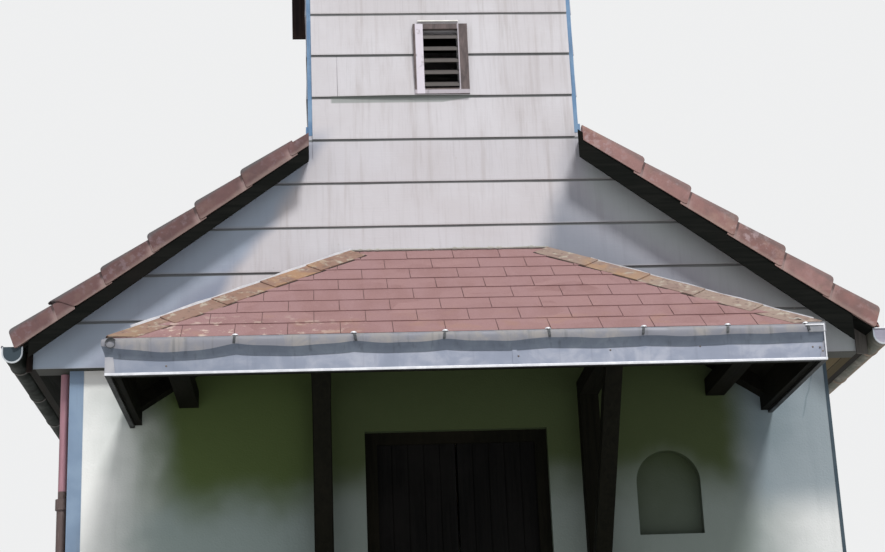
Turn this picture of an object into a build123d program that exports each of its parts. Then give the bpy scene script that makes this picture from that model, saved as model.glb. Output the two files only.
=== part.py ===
from build123d import *
import math
import os

os.makedirs("parts", exist_ok=True)

# Sizes are in millimetres. The chapel stands on z = 0 with its centre on the z axis.
# Its front, with the tower and the canopy, faces -Y, and +X is to the right of a visitor.

# Masonry walls
wall_width = 5400
wall_length = 6600
wall_thickness = 300
wall_height = 2785
floor_level = 150
niche_width = 456
niche_sill = 1516
niche_height = 595
niche_depth = 80
niche_offset = 1485

# Doorway and its two leaves
door_width = 1290
door_top = 2300
door_setback = 60
frame_face = 70
frame_depth = 75
stop_width = 15
stop_depth = 30
leaf_thickness = 45
leaf_gap = 5
leaf_meeting_gap = 6
leaf_bottom_gap = 10
leaf_bevel = 5
plank_count = 5
plank_groove = 5
hinge_heights = (430, 1180, 1930)
pin_radius = 7
pin_clearance = 0.3
knuckle_wall = 5.7
knuckle_height = 44
strap_thickness = 6
strap_length = 330
pin_standoff = 14
step_depth = 380
step_overlap = 180
step_rounding = 15
handle_height = 1050
handle_inset = 70
handle_plate_width = 44
handle_plate_height = 220
handle_plate_thickness = 5
handle_bar = 18
handle_reach = 40
handle_length = 119

# Side windows
window_width = 600
window_sill = 1250
window_height = 1000
window_spacing = 2600
window_frame = 55
window_frame_depth = 60
window_setback = 110
glass_thickness = 6

# Ceiling over the nave
ceiling_thickness = 160

# Boarded gables and the saddle roof
gable_projection = 67
gable_thickness = 167
board_exposure = 340.3
roof_pitch = 36
eave_rise = 191.8
eaves_overhang = 360
tile_overhang = 75
tile_thickness = 60
tile_lap_thickness = 26
tile_exposure = 403
deck_thickness = 54
verge_overhang = 200
verge_thickness = 25
verge_drop = 92
verge_rise = 9
ridge_cap_half_width = 130
ridge_cap_rise = 62
ridge_cap_edge = 14
verge_ridge_gap = 6
fascia_thickness = 54

# Gutters and downpipe
gutter_radius = 67
gutter_wall = 4
gutter_upstand = 45
gutter_top_gap = 4
gutter_bracket_width = 32
gutter_bracket_count = 7
downpipe_radius = 30
downpipe_wall = 3
downpipe_gap = 20
downpipe_setback = 110
standpipe_top = 1895
standpipe_radius = 36
standpipe_bore = 26
collar_radius = 46
collar_height = 75
socket_depth = 60
socket_clearance = 0.3
pipe_clip_height = 30
pipe_clip_width = 24
pipe_clip_places = (500, 1400, 2450)

# Folded metal angles on the corners of the masonry
corner_leg_left = 95
corner_leg_right = 22
corner_leg_side = 60
corner_sheet = 3
corner_base = 40

# Tower
tower_width = 2000
tower_wall = 120
tower_courses = 12
strip_width = 36
strip_thickness = 3
strip_clearance = 46.5
belfry_sill = 5980
belfry_width = 800
belfry_height = 720
belfry_projection = 100
belfry_casing = 80
slat_thickness = 18
slat_depth = 110
slat_angle = 35
belfry_slats = 6
side_board_reach = 117
side_board_thickness = 33
side_board_drop = 392
louvre_width = 410
louvre_height = 570
louvre_gap = 575
louvre_projection = 35
louvre_casing_side = 74
louvre_casing_end = 42
louvre_slats = 5
louvre_slat_depth = 62
cornice_height = 90
cornice_projection = 60
tower_eaves = 190
tower_roof_rise = 1650
tower_roof_tip = 90
tower_roof_shell = 70
roof_edge_height = 55

# Cross on the tower
ball_radius = 75
ball_neck_height = 60
cross_height = 620
cross_width = 380
cross_bar = 36
cross_arm_height = 410
ball_facets = 10

# Canopy over the door, a hipped lean-to
canopy_depth = 1384
canopy_half_width = 2275
canopy_top_half_width = 705
canopy_eave_drop = 185
canopy_rise = 1014
canopy_deck = 60
canopy_beam_depth = 215
canopy_rafter_depth = 110
canopy_rafter_width = 60
canopy_side_beam_width = 50
canopy_beam_width = 100
canopy_fascia_thickness = 30
canopy_fascia_height = 123
canopy_fascia_drop = 20
flashing_height = 115
flashing_bulge = 26
hip_cap_width = 180
hip_cap_thickness = 22

# Timber posts, braces and brackets that carry the canopy
post_width = 132
post_depth = 130
post_offset = 942
post_foot_height = 140
post_foot_margin = 45
brace_thickness = 110
brace_foot_height = 1125
arm_rise = 115
bracket_offset = 1870
bracket_width = 135
arm_height = 120

# Values that follow from the sizes above
half_width = wall_width / 2
inner_half_width = half_width - wall_thickness
front_y = -wall_length / 2
back_y = wall_length / 2
inner_front_y = front_y + wall_thickness
inner_back_y = back_y - wall_thickness
gable_front_y = front_y - gable_projection
gable_back_y = back_y + gable_projection
roof_front_y = gable_front_y - verge_overhang
roof_back_y = gable_back_y + verge_overhang
slope = math.tan(math.radians(roof_pitch))
slope_cos = math.cos(math.radians(roof_pitch))
roof_half_span = half_width + eaves_overhang
ridge_height = wall_height + eave_rise + roof_half_span * slope
fascia_edge = roof_half_span - tile_overhang
eaves_box_edge = fascia_edge - fascia_thickness
tower_half = tower_width / 2
tower_back_y = gable_front_y + tower_width
tower_centre_y = gable_front_y + tower_half
tower_top = wall_height + tower_courses * board_exposure
half_door = door_width / 2
half_leaf_space = half_door - frame_face
frame_front_y = front_y + door_setback
frame_back_y = frame_front_y + frame_depth
leaf_front_y = frame_front_y + stop_depth + leaf_gap
leaf_back_y = leaf_front_y + leaf_thickness
pin_y = leaf_back_y + pin_standoff
pin_x = half_leaf_space - leaf_gap / 2
canopy_front_y = gable_front_y - canopy_depth
canopy_eave_height = wall_height - canopy_eave_drop
canopy_top_height = canopy_eave_height + canopy_rise
canopy_soffit_height = canopy_eave_height - canopy_beam_depth
canopy_fascia_bottom = canopy_soffit_height - canopy_fascia_drop
arm_bottom = canopy_soffit_height + arm_rise
louvre_sill = belfry_sill - louvre_gap - louvre_height
canopy_front_slope = canopy_rise / canopy_depth
canopy_side_run = canopy_half_width - canopy_top_half_width
canopy_side_slope = canopy_rise / canopy_side_run


def cover_height(x):
    """Height of the tile noses at a distance x from the ridge line."""
    return ridge_height - abs(x) * slope


def deck_top(x):
    return cover_height(x) - tile_thickness / slope_cos


def deck_bottom(x):
    return deck_top(x) - deck_thickness / slope_cos


def block(x_low, x_high, y_low, y_high, z_low, z_high, mode=Mode.ADD):
    """A squared piece between two corners."""
    with BuildSketch(Plane.XY.offset(z_low)) as base:
        with Locations(((x_low + x_high) / 2, (y_low + y_high) / 2)):
            Rectangle(x_high - x_low, y_high - y_low)
    extrude(base.sketch, amount=z_high - z_low, mode=mode)


def prism_along_y(points, y_low, y_high, mode=Mode.ADD):
    """A prism whose outline is given as x and z."""
    with BuildSketch(Plane.XZ.offset(-y_high)) as outline:
        with BuildLine():
            Polyline(*points, close=True)
        make_face()
    extrude(outline.sketch, amount=y_high - y_low, mode=mode)


def prism_along_x(points, x_low, x_high, mode=Mode.ADD):
    """A prism whose outline is given as y and z."""
    with BuildSketch(Plane.YZ.offset(x_low)) as outline:
        with BuildLine():
            Polyline(*points, close=True)
        make_face()
    extrude(outline.sketch, amount=x_high - x_low, mode=mode)


def prism_along_z(points, z_low, z_high, mode=Mode.ADD):
    """A prism whose outline is given as x and y."""
    with BuildSketch(Plane.XY.offset(z_low)) as outline:
        with BuildLine():
            Polyline(*points, close=True)
        make_face()
    extrude(outline.sketch, amount=z_high - z_low, mode=mode)


def arched_sketch(plane, width, height, inset=0):
    """A round-headed outline that stands on the plane's origin."""
    clear = width - 2 * inset
    with BuildSketch(plane) as outline:
        straight = height - width / 2 - inset
        with Locations((0, inset + straight / 2)):
            Rectangle(clear, straight)
        with Locations((0, height - width / 2)):
            Circle(clear / 2)
    return outline.sketch


def save(piece, label):
    piece.part.label = label
    export_step(piece.part, f"parts/{label}.step")


# Floor and step
with BuildPart() as floor_slab:
    block(-inner_half_width, inner_half_width, inner_front_y, inner_back_y, 0, floor_level)
    block(-half_door, half_door, front_y, inner_front_y, 0, floor_level)
save(floor_slab, "floor_slab")

with BuildPart() as door_step:
    step_half = half_door + step_overlap
    block(-step_half, step_half, front_y - step_depth, front_y, 0, floor_level)
    fillet(door_step.edges().filter_by(Axis.X).group_by(Axis.Z)[-1].sort_by(Axis.Y)[0], step_rounding)
save(door_step, "door_step")

# Masonry walls, with a blind arched niche to the right of the doorway
for side, name in ((-1, "front_wall_left"), (1, "front_wall_right")):
    with BuildPart() as front_wall:
        x_low, x_high = sorted((side * half_door, side * half_width))
        block(x_low, x_high, front_y, inner_front_y, 0, wall_height)
        if side > 0:
            niche_plane = Plane((niche_offset, front_y + niche_depth, niche_sill), (1, 0, 0), (0, -1, 0))
            extrude(arched_sketch(niche_plane, niche_width, niche_height), amount=niche_depth, mode=Mode.SUBTRACT)
    save(front_wall, name)

with BuildPart() as front_wall_over_door:
    block(-half_door, half_door, front_y, inner_front_y, door_top, wall_height)
save(front_wall_over_door, "front_wall_over_door")

window_places = (-window_spacing / 2, window_spacing / 2)
for side, name in ((-1, "side_wall_left"), (1, "side_wall_right")):
    with BuildPart() as side_wall:
        x_low, x_high = sorted((side * inner_half_width, side * half_width))
        block(x_low, x_high, inner_front_y, inner_back_y, 0, wall_height)
        for y in window_places:
            window_plane = Plane((x_low, y, window_sill), (0, 1, 0), (1, 0, 0))
            hole = arched_sketch(window_plane, window_width, window_height)
            extrude(hole, amount=wall_thickness, mode=Mode.SUBTRACT)
    save(side_wall, name)

with BuildPart() as back_wall:
    block(-half_width, half_width, inner_back_y, back_y, 0, wall_height)
save(back_wall, "back_wall")

# Window frames and panes
frame_outer_x = half_width - window_setback
with BuildPart() as window_frames:
    for side in (-1, 1):
        for y in window_places:
            x_start = min(side * frame_outer_x, side * (frame_outer_x - window_frame_depth))
            frame_plane = Plane((x_start, y, window_sill), (0, 1, 0), (1, 0, 0))
            extrude(arched_sketch(frame_plane, window_width, window_height), amount=window_frame_depth)
            hole = arched_sketch(frame_plane, window_width, window_height, window_frame)
            extrude(hole, amount=window_frame_depth, mode=Mode.SUBTRACT)
save(window_frames, "window_frames")

with BuildPart() as window_panes:
    for side in (-1, 1):
        for y in window_places:
            x_start = side * (frame_outer_x - window_frame_depth / 2) - glass_thickness / 2
            pane_plane = Plane((x_start, y, window_sill), (0, 1, 0), (1, 0, 0))
            pane = arched_sketch(pane_plane, window_width, window_height, window_frame)
            extrude(pane, amount=glass_thickness)
save(window_panes, "window_panes")

# Ceiling of the nave
with BuildPart() as ceiling:
    ceiling_bottom = wall_height - ceiling_thickness
    block(-inner_half_width, inner_half_width, inner_front_y, inner_back_y, ceiling_bottom, wall_height)
save(ceiling, "ceiling")

# Boarded gables: the front one is flush with the tower and split by it
for side, name in ((-1, "front_gable_left"), (1, "front_gable_right")):
    with BuildPart() as front_gable:
        edge = side * eaves_box_edge
        inner = side * tower_half
        points = [(edge, wall_height), (inner, wall_height), (inner, deck_bottom(inner)), (edge, deck_bottom(edge))]
        prism_along_y(points, gable_front_y, gable_front_y + gable_thickness)
    save(front_gable, name)

with BuildPart() as back_gable:
    edge = eaves_box_edge
    points = [(-edge, wall_height), (edge, wall_height), (edge, deck_bottom(edge)), (0, deck_bottom(0)),
              (-edge, deck_bottom(edge))]
    prism_along_y(points, gable_back_y - gable_thickness, gable_back_y)
save(back_gable, "back_gable")

# Boxed eaves along the side walls, with their fascia boards


def eaves_outline(inner, edge):
    """Outline of a board or box from the wall's top up to the roof deck."""
    return [(inner, wall_height), (edge, wall_height), (edge, deck_bottom(edge)), (inner, deck_bottom(inner))]


with BuildPart() as eaves_boxes:
    for side in (-1, 1):
        prism_along_y(eaves_outline(side * inner_half_width, side * eaves_box_edge),
                      gable_front_y + gable_thickness, gable_back_y - gable_thickness)
save(eaves_boxes, "eaves_boxes")

with BuildPart() as eaves_fascias:
    for side in (-1, 1):
        prism_along_y(eaves_outline(side * eaves_box_edge, side * fascia_edge), gable_front_y, gable_back_y)
save(eaves_fascias, "eaves_fascias")

# Roof deck and the stepped courses of tiles on it, cut round the tower
tower_cut = (-tower_half, tower_half, roof_front_y, tower_back_y, wall_height, ridge_height + ridge_cap_rise)


def tile_outline(side):
    """Stepped outline of one slope's tiles, from the ridge down to the eave and back."""
    points = [(0, deck_top(0)), (0, ridge_height)]
    course_run = tile_exposure * slope_cos
    courses = math.ceil(roof_half_span / course_run)
    noses = [roof_half_span - n * course_run for n in range(courses)]
    noses.reverse()
    lap_drop = (tile_thickness - tile_lap_thickness) / slope_cos
    for nose, lower in zip(noses, noses[1:] + [None]):
        points.append((nose, cover_height(nose)))
        if lower is not None:
            points.append((nose, cover_height(nose) - lap_drop))
    points.append((roof_half_span, deck_top(roof_half_span)))
    return [(side * x, z) for x, z in points]


for side, name in ((-1, "left"), (1, "right")):
    with BuildPart() as roof_deck:
        edge = side * fascia_edge
        points = [(0, deck_top(0)), (edge, deck_top(edge)), (edge, deck_bottom(edge)), (0, deck_bottom(0))]
        prism_along_y(points, roof_front_y, roof_back_y)
        block(*tower_cut, mode=Mode.SUBTRACT)
    save(roof_deck, f"roof_deck_{name}")
    with BuildPart() as roof_tiles:
        prism_along_y(tile_outline(side), roof_front_y, roof_back_y)
        block(*tower_cut, mode=Mode.SUBTRACT)
    save(roof_tiles, f"roof_tiles_{name}")

with BuildPart() as ridge_tiles:
    with BuildSketch(Plane.XZ.offset(-roof_back_y)) as cap:
        with BuildLine():
            left_edge = (-ridge_cap_half_width, cover_height(ridge_cap_half_width))
            right_edge = (ridge_cap_half_width, cover_height(ridge_cap_half_width))
            Polyline(left_edge, (0, ridge_height), right_edge)
            Line(right_edge, (right_edge[0], right_edge[1] + ridge_cap_edge))
            ThreePointArc((right_edge[0], right_edge[1] + ridge_cap_edge), (0, ridge_height + ridge_cap_rise),
                          (left_edge[0], left_edge[1] + ridge_cap_edge))
            Line((left_edge[0], left_edge[1] + ridge_cap_edge), left_edge)
        make_face()
    extrude(amount=roof_back_y - tower_back_y)
save(ridge_tiles, "ridge_tiles")


def verge_tiles(y_low, first_run):
    """Side flanges of the verge tiles on both slopes, one to a course, up to a run from the ridge."""
    course_run = tile_exposure * slope_cos
    for side in (-1, 1):
        nose = roof_half_span
        while nose > first_run:
            upper = max(nose - course_run, first_run)
            taper = (tile_thickness - tile_lap_thickness) * (nose - upper) / course_run
            top = cover_height(nose) + verge_rise
            top_upper = cover_height(upper) + verge_rise - taper / slope_cos
            bottom = top - verge_drop / slope_cos
            bottom_upper = top_upper - (verge_drop - taper) / slope_cos
            points = [(side * nose, bottom), (side * nose, top), (side * upper, top_upper), (side * upper, bottom_upper)]
            prism_along_y(points, y_low, y_low + verge_thickness)
            nose = upper


with BuildPart() as verge_flanges:
    verge_tiles(roof_front_y - verge_thickness, tower_half)
    verge_tiles(roof_back_y, verge_ridge_gap / 2)
save(verge_flanges, "verge_tiles")

# Gutters, held by brackets on the fascia boards
gutter_top = cover_height(roof_half_span) - tile_thickness / slope_cos - gutter_top_gap
gutter_centre_z = gutter_top - gutter_upstand
gutter_x = fascia_edge + 8 + gutter_radius
bracket_pitch = (gable_back_y - gable_front_y) / gutter_bracket_count
with BuildPart() as gutters:
    for side in (-1, 1):
        with BuildSketch(Plane.XZ.offset(-roof_back_y)) as channel:
            with Locations((side * gutter_x, gutter_centre_z)):
                Circle(gutter_radius)
            with Locations((side * gutter_x, gutter_centre_z + gutter_upstand / 2)):
                Rectangle(2 * gutter_radius, gutter_upstand)
            with Locations((side * gutter_x, gutter_centre_z)):
                Circle(gutter_radius - gutter_wall, mode=Mode.SUBTRACT)
            with Locations((side * gutter_x, gutter_centre_z + gutter_radius)):
                Rectangle(2 * (gutter_radius - gutter_wall), 2 * gutter_radius, mode=Mode.SUBTRACT)
        extrude(channel.sketch, amount=roof_back_y - roof_front_y)
        for n in range(gutter_bracket_count):
            y = gable_front_y + (n + 0.5) * bracket_pitch
            x_low, x_high = sorted((side * fascia_edge, side * (gutter_x - gutter_radius + gutter_wall / 2)))
            block(x_low, x_high, y - gutter_bracket_width / 2, y + gutter_bracket_width / 2,
                  gutter_centre_z, gutter_top)
save(gutters, "gutters")

# Downpipes on the side walls, one near the front and one near the back, clipped to the masonry,
# each standing in the socket of a standpipe
pipe_x = half_width + downpipe_gap + downpipe_radius
pipe_places = ((-1, front_y + downpipe_setback), (1, back_y - downpipe_setback))
pipe_foot = standpipe_top - socket_depth
with BuildPart() as downpipes:
    for side, pipe_y in pipe_places:
        with BuildSketch(Plane.XY.offset(pipe_foot)) as pipe_ring:
            with Locations((side * pipe_x, pipe_y)):
                Circle(downpipe_radius)
                Circle(downpipe_radius - downpipe_wall, mode=Mode.SUBTRACT)
        extrude(pipe_ring.sketch, amount=wall_height - pipe_foot)
        x_low, x_high = sorted((side * half_width, side * (pipe_x - downpipe_radius + downpipe_wall / 2)))
        block(x_low, x_high, pipe_y - pipe_clip_width / 2, pipe_y + pipe_clip_width / 2,
              pipe_clip_places[-1], pipe_clip_places[-1] + pipe_clip_height)
save(downpipes, "downpipes")

with BuildPart() as standpipes:
    for side, pipe_y in pipe_places:
        with BuildSketch(Plane.XY) as stand_ring:
            with Locations((side * pipe_x, pipe_y)):
                Circle(standpipe_radius)
        extrude(stand_ring.sketch, amount=standpipe_top)
        with BuildSketch(Plane.XY.offset(standpipe_top - collar_height)) as collar:
            with Locations((side * pipe_x, pipe_y)):
                Circle(collar_radius)
        extrude(collar.sketch, amount=collar_height)
        with BuildSketch(Plane.XY) as bore:
            with Locations((side * pipe_x, pipe_y)):
                Circle(standpipe_bore)
        extrude(bore.sketch, amount=standpipe_top, mode=Mode.SUBTRACT)
        with BuildSketch(Plane.XY.offset(pipe_foot)) as socket:
            with Locations((side * pipe_x, pipe_y)):
                Circle(downpipe_radius + socket_clearance)
        extrude(socket.sketch, amount=socket_depth, mode=Mode.SUBTRACT)
        x_low, x_high = sorted((side * half_width, side * (pipe_x - (standpipe_radius + standpipe_bore) / 2)))
        for z in pipe_clip_places[:-1]:
            block(x_low, x_high, pipe_y - pipe_clip_width / 2, pipe_y + pipe_clip_width / 2,
                  z, z + pipe_clip_height)
save(standpipes, "standpipes")

with BuildPart() as wall_corner_strips:
    for side, leg in ((-1, corner_leg_left), (1, corner_leg_right)):
        outer_x = side * (half_width + corner_sheet)
        points = [(outer_x, front_y - corner_sheet), (side * (half_width - leg), front_y - corner_sheet),
                  (side * (half_width - leg), front_y), (side * half_width, front_y),
                  (side * half_width, front_y + corner_leg_side), (outer_x, front_y + corner_leg_side)]
        prism_along_z(points, corner_base, wall_height)
save(wall_corner_strips, "wall_corner_strips")

# Tower walls of boarded timber framing, with an opening for the bells on each face
belfry_opening = belfry_width - 2 * belfry_casing
belfry_opening_height = belfry_height - 2 * belfry_casing
louvre_opening = louvre_width - 2 * louvre_casing_side
louvre_opening_height = louvre_height - 2 * louvre_casing_end


def tower_wall_panel(plane):
    """One wall of the tower, seen from outside with the plane's origin at its foot."""
    with BuildSketch(plane) as panel:
        with Locations((0, (tower_top - wall_height) / 2)):
            Rectangle(tower_width, tower_top - wall_height)
        with Locations((0, belfry_sill + belfry_height / 2 - wall_height)):
            Rectangle(belfry_opening, belfry_opening_height, mode=Mode.SUBTRACT)
    return panel.sketch


front_plane = Plane((0, gable_front_y, wall_height), (1, 0, 0), (0, -1, 0))
back_plane = Plane((0, tower_back_y, wall_height), (-1, 0, 0), (0, 1, 0))
left_plane = Plane((-tower_half, tower_centre_y, wall_height), (0, -1, 0), (-1, 0, 0))
right_plane = Plane((tower_half, tower_centre_y, wall_height), (0, 1, 0), (1, 0, 0))

with BuildPart() as tower_wall_front:
    extrude(tower_wall_panel(front_plane), amount=-tower_wall)
    block(-louvre_opening / 2, louvre_opening / 2, gable_front_y, gable_front_y + tower_wall,
          louvre_sill + louvre_casing_end, louvre_sill + louvre_height - louvre_casing_end, mode=Mode.SUBTRACT)
save(tower_wall_front, "tower_wall_front")

with BuildPart() as tower_wall_back:
    extrude(tower_wall_panel(back_plane), amount=-tower_wall)
save(tower_wall_back, "tower_wall_back")

for side, plane, name in ((-1, left_plane, "left"), (1, right_plane, "right")):
    with BuildPart() as tower_side:
        extrude(tower_wall_panel(plane), amount=-tower_wall)
        x_low, x_high = sorted((side * (tower_half - tower_wall), side * tower_half))
        for y_low in (gable_front_y, tower_back_y - tower_wall):
            block(x_low, x_high, y_low, y_low + tower_wall, wall_height, tower_top, mode=Mode.SUBTRACT)
    save(tower_side, f"tower_wall_{name}")

# Folded metal strips that cover the tower's corners above the roof
with BuildPart() as tower_corner_strips:
    for x_side in (-1, 1):
        for y_side in (-1, 1):
            corner_x = x_side * (tower_half + strip_thickness)
            corner_y = tower_centre_y + y_side * (tower_half + strip_thickness)
            points = [(corner_x, corner_y), (corner_x - x_side * strip_width, corner_y),
                      (corner_x - x_side * strip_width, corner_y - y_side * strip_thickness),
                      (corner_x - x_side * strip_thickness, corner_y - y_side * strip_thickness),
                      (corner_x - x_side * strip_thickness, corner_y - y_side * strip_width),
                      (corner_x, corner_y - y_side * strip_width)]
            prism_along_z(points, cover_height(tower_half) + strip_clearance, tower_top - cornice_height)
save(tower_corner_strips, "tower_corner_strips")


def louvre(plane, width, height, casing_side, casing_end, projection, slats, depth):
    """A casing with slanted slats; the plane's origin is at the middle of its foot, facing out."""
    with BuildSketch(plane) as casing:
        with Locations((0, height / 2)):
            Rectangle(width, height)
            Rectangle(width - 2 * casing_side, height - 2 * casing_end, mode=Mode.SUBTRACT)
    extrude(casing.sketch, amount=projection)
    clear_height = height - 2 * casing_end
    pitch = clear_height / slats
    slat_run = depth * math.cos(math.radians(slat_angle))
    slat_fall = depth * math.sin(math.radians(slat_angle))
    edge = slat_thickness / math.cos(math.radians(slat_angle))
    for n in range(slats):
        low = casing_end + n * pitch + (pitch - slat_fall - edge) / 2
        outer = projection - 8
        side_plane = Plane(plane.from_local_coords((-(width / 2 - casing_side), 0, 0)),
                           plane.z_dir, -plane.x_dir)
        with BuildSketch(side_plane) as slat:
            with BuildLine():
                Polyline((outer, low), (outer - slat_run, low + slat_fall),
                         (outer - slat_run, low + slat_fall + edge), (outer, low + edge), close=True)
            make_face()
        extrude(slat.sketch, amount=-(width - 2 * casing_side))


with BuildPart() as tower_louvre:
    louvre_plane = Plane((0, gable_front_y, louvre_sill), (1, 0, 0), (0, -1, 0))
    louvre(louvre_plane, louvre_width, louvre_height, louvre_casing_side, louvre_casing_end,
           louvre_projection, louvre_slats, louvre_slat_depth)
save(tower_louvre, "tower_louvre")

with BuildPart() as belfry_louvres:
    for plane in (front_plane, back_plane, left_plane, right_plane):
        foot = plane.origin + Vector(0, 0, belfry_sill - wall_height)
        louvre(Plane(foot, plane.x_dir, plane.z_dir), belfry_width, belfry_height,
               belfry_casing, belfry_casing, belfry_projection, belfry_slats, slat_depth)
save(belfry_louvres, "belfry_louvres")

# A board on edge that stands out from the tower's left side, along the front of the louvre
with BuildPart() as tower_side_board:
    board_y = tower_centre_y - belfry_width / 2
    block(-tower_half - side_board_reach, -tower_half, board_y - side_board_thickness, board_y,
          belfry_sill - side_board_drop, belfry_sill + belfry_height)
save(tower_side_board, "tower_side_board")

# Cornice, roof and cross of the tower
cornice_half = tower_half + cornice_projection
with BuildPart() as tower_cornice:
    with BuildSketch(Plane.XY.offset(tower_top - cornice_height)) as cornice_ring:
        with Locations((0, tower_centre_y)):
            Rectangle(2 * cornice_half, 2 * cornice_half)
            Rectangle(tower_width, tower_width, mode=Mode.SUBTRACT)
    extrude(amount=cornice_height)
save(tower_cornice, "tower_cornice")

roof_half = tower_half + tower_eaves
roof_taper = math.degrees(math.atan((roof_half - tower_roof_tip / 2) / tower_roof_rise))
hollow_half = tower_half - tower_wall
hollow_rise = tower_roof_rise * hollow_half / roof_half - tower_roof_shell
hollow_taper = math.degrees(math.atan((hollow_half - tower_roof_tip / 2) / hollow_rise))
with BuildPart() as tower_roof:
    with BuildSketch(Plane.XY.offset(tower_top)) as roof_edge:
        with Locations((0, tower_centre_y)):
            Rectangle(2 * roof_half, 2 * roof_half)
    extrude(amount=roof_edge_height)
    with BuildSketch(Plane.XY.offset(tower_top + roof_edge_height)) as roof_base:
        with Locations((0, tower_centre_y)):
            Rectangle(2 * roof_half, 2 * roof_half)
    extrude(amount=tower_roof_rise, taper=roof_taper)
    with BuildSketch(Plane.XY.offset(tower_top)) as hollow_base:
        with Locations((0, tower_centre_y)):
            Rectangle(2 * hollow_half, 2 * hollow_half)
    extrude(amount=hollow_rise, taper=hollow_taper, mode=Mode.SUBTRACT)
save(tower_roof, "tower_roof")

tip_z = tower_top + roof_edge_height + tower_roof_rise
with BuildPart() as finial_cross:
    with BuildSketch(Plane.XY.offset(tip_z)) as neck:
        with Locations((0, tower_centre_y)):
            Circle(tower_roof_tip / 2 - 3)
    extrude(amount=ball_neck_height)
    ball_z = tip_z + ball_neck_height + ball_radius * 0.8
    turns = [math.pi * (n / ball_facets - 0.5) for n in range(ball_facets + 1)]
    with BuildSketch(Plane.XZ.offset(-tower_centre_y)) as ball_half:
        with BuildLine():
            Polyline(*[(ball_radius * math.cos(t), ball_z + ball_radius * math.sin(t)) for t in turns], close=True)
        make_face()
    revolve(axis=Axis((0, tower_centre_y, 0), (0, 0, 1)))
    cross_foot = ball_z + ball_radius * 0.9
    block(-cross_bar / 2, cross_bar / 2, tower_centre_y - cross_bar / 2, tower_centre_y + cross_bar / 2,
          cross_foot, cross_foot + cross_height)
    arm_z = cross_foot + cross_arm_height
    block(-cross_width / 2, cross_width / 2, tower_centre_y - cross_bar / 2, tower_centre_y + cross_bar / 2,
          arm_z - cross_bar / 2, arm_z + cross_bar / 2)
save(finial_cross, "finial_cross")


def canopy_wedge(drop):
    """The canopy's hipped volume, with its slopes lowered by a drop, clear of the gable boards."""
    rear_rise = (front_y - canopy_front_y) * canopy_front_slope
    with BuildPart() as wedge:
        profile = [(canopy_front_y, canopy_soffit_height), (front_y, canopy_soffit_height),
                   (front_y, canopy_eave_height + rear_rise - drop), (canopy_front_y, canopy_eave_height - drop)]
        prism_along_x(profile, -canopy_half_width, canopy_half_width)
        apex = canopy_eave_height + canopy_half_width * canopy_side_slope
        sides = [(-canopy_half_width, canopy_soffit_height), (canopy_half_width, canopy_soffit_height),
                 (canopy_half_width, canopy_eave_height - drop), (0, apex - drop),
                 (-canopy_half_width, canopy_eave_height - drop)]
        prism_along_y(sides, canopy_front_y, front_y, mode=Mode.INTERSECT)
        block(-canopy_half_width, canopy_half_width, gable_front_y, front_y, wall_height, 2 * wall_height,
              mode=Mode.SUBTRACT)
    return wedge.part


# Canopy decks: a front slope between two hips, and a side slope beyond each hip
fascia_back_y = canopy_front_y + canopy_fascia_thickness
fascia_inner_x = canopy_half_width - canopy_fascia_thickness
hip_run = canopy_side_run / canopy_depth
hip_head_x = canopy_half_width - (front_y - canopy_front_y) * hip_run
hip_inset_x = canopy_half_width - canopy_fascia_thickness * hip_run
top_z = 2 * canopy_top_height

with BuildPart() as canopy_deck_front:
    add(canopy_wedge(0))
    add(canopy_wedge(canopy_deck), mode=Mode.SUBTRACT)
    plan = [(-hip_inset_x, fascia_back_y), (hip_inset_x, fascia_back_y), (hip_head_x, front_y), (-hip_head_x, front_y)]
    prism_along_z(plan, canopy_soffit_height, top_z, mode=Mode.INTERSECT)
save(canopy_deck_front, "canopy_deck_front")

for side, name in ((-1, "left"), (1, "right")):
    with BuildPart() as canopy_deck_side:
        add(canopy_wedge(0))
        add(canopy_wedge(canopy_deck), mode=Mode.SUBTRACT)
        plan = [(side * fascia_inner_x, fascia_back_y), (side * fascia_inner_x, front_y),
                (side * hip_head_x, front_y), (side * hip_inset_x, fascia_back_y)]
        prism_along_z(plan, canopy_soffit_height, top_z, mode=Mode.INTERSECT)
    save(canopy_deck_side, f"canopy_deck_{name}")


def hip_strip(side, width, y_start):
    """Plan of a strip along one hip line."""
    length = math.hypot(canopy_side_run, canopy_depth)
    across_x = canopy_depth / length * width / 2
    across_y = canopy_side_run / length * width / 2
    start_x = canopy_half_width - (y_start - canopy_front_y) * hip_run
    ends = ((start_x, y_start), (hip_head_x, front_y))
    (x1, y1), (x2, y2) = ends
    return [(side * (x1 + across_x), y1 + across_y), (side * (x2 + across_x), y2 + across_y),
            (side * (x2 - across_x), y2 - across_y), (side * (x1 - across_x), y1 - across_y)]


with BuildPart() as canopy_hip_caps:
    add(canopy_wedge(-hip_cap_thickness))
    add(canopy_wedge(0), mode=Mode.SUBTRACT)
    with BuildSketch(Plane.XY.offset(canopy_soffit_height)) as strips:
        for side in (-1, 1):
            with BuildLine():
                Polyline(*hip_strip(side, hip_cap_width, fascia_back_y + hip_cap_width / 3), close=True)
            make_face()
    extrude(strips.sketch, amount=top_z - canopy_soffit_height, mode=Mode.INTERSECT)
save(canopy_hip_caps, "canopy_hip_caps")

# Rafters and beams under the canopy
beam_back_y = fascia_back_y + canopy_beam_width
with BuildPart() as canopy_beams:
    block(-fascia_inner_x, fascia_inner_x, fascia_back_y, front_y, canopy_soffit_height, top_z)
    beam_inner_x = fascia_inner_x - canopy_side_beam_width
    block(-beam_inner_x, beam_inner_x, beam_back_y, front_y, canopy_soffit_height, top_z, mode=Mode.SUBTRACT)
    add(canopy_wedge(canopy_deck), mode=Mode.INTERSECT)
save(canopy_beams, "canopy_beams")

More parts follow.
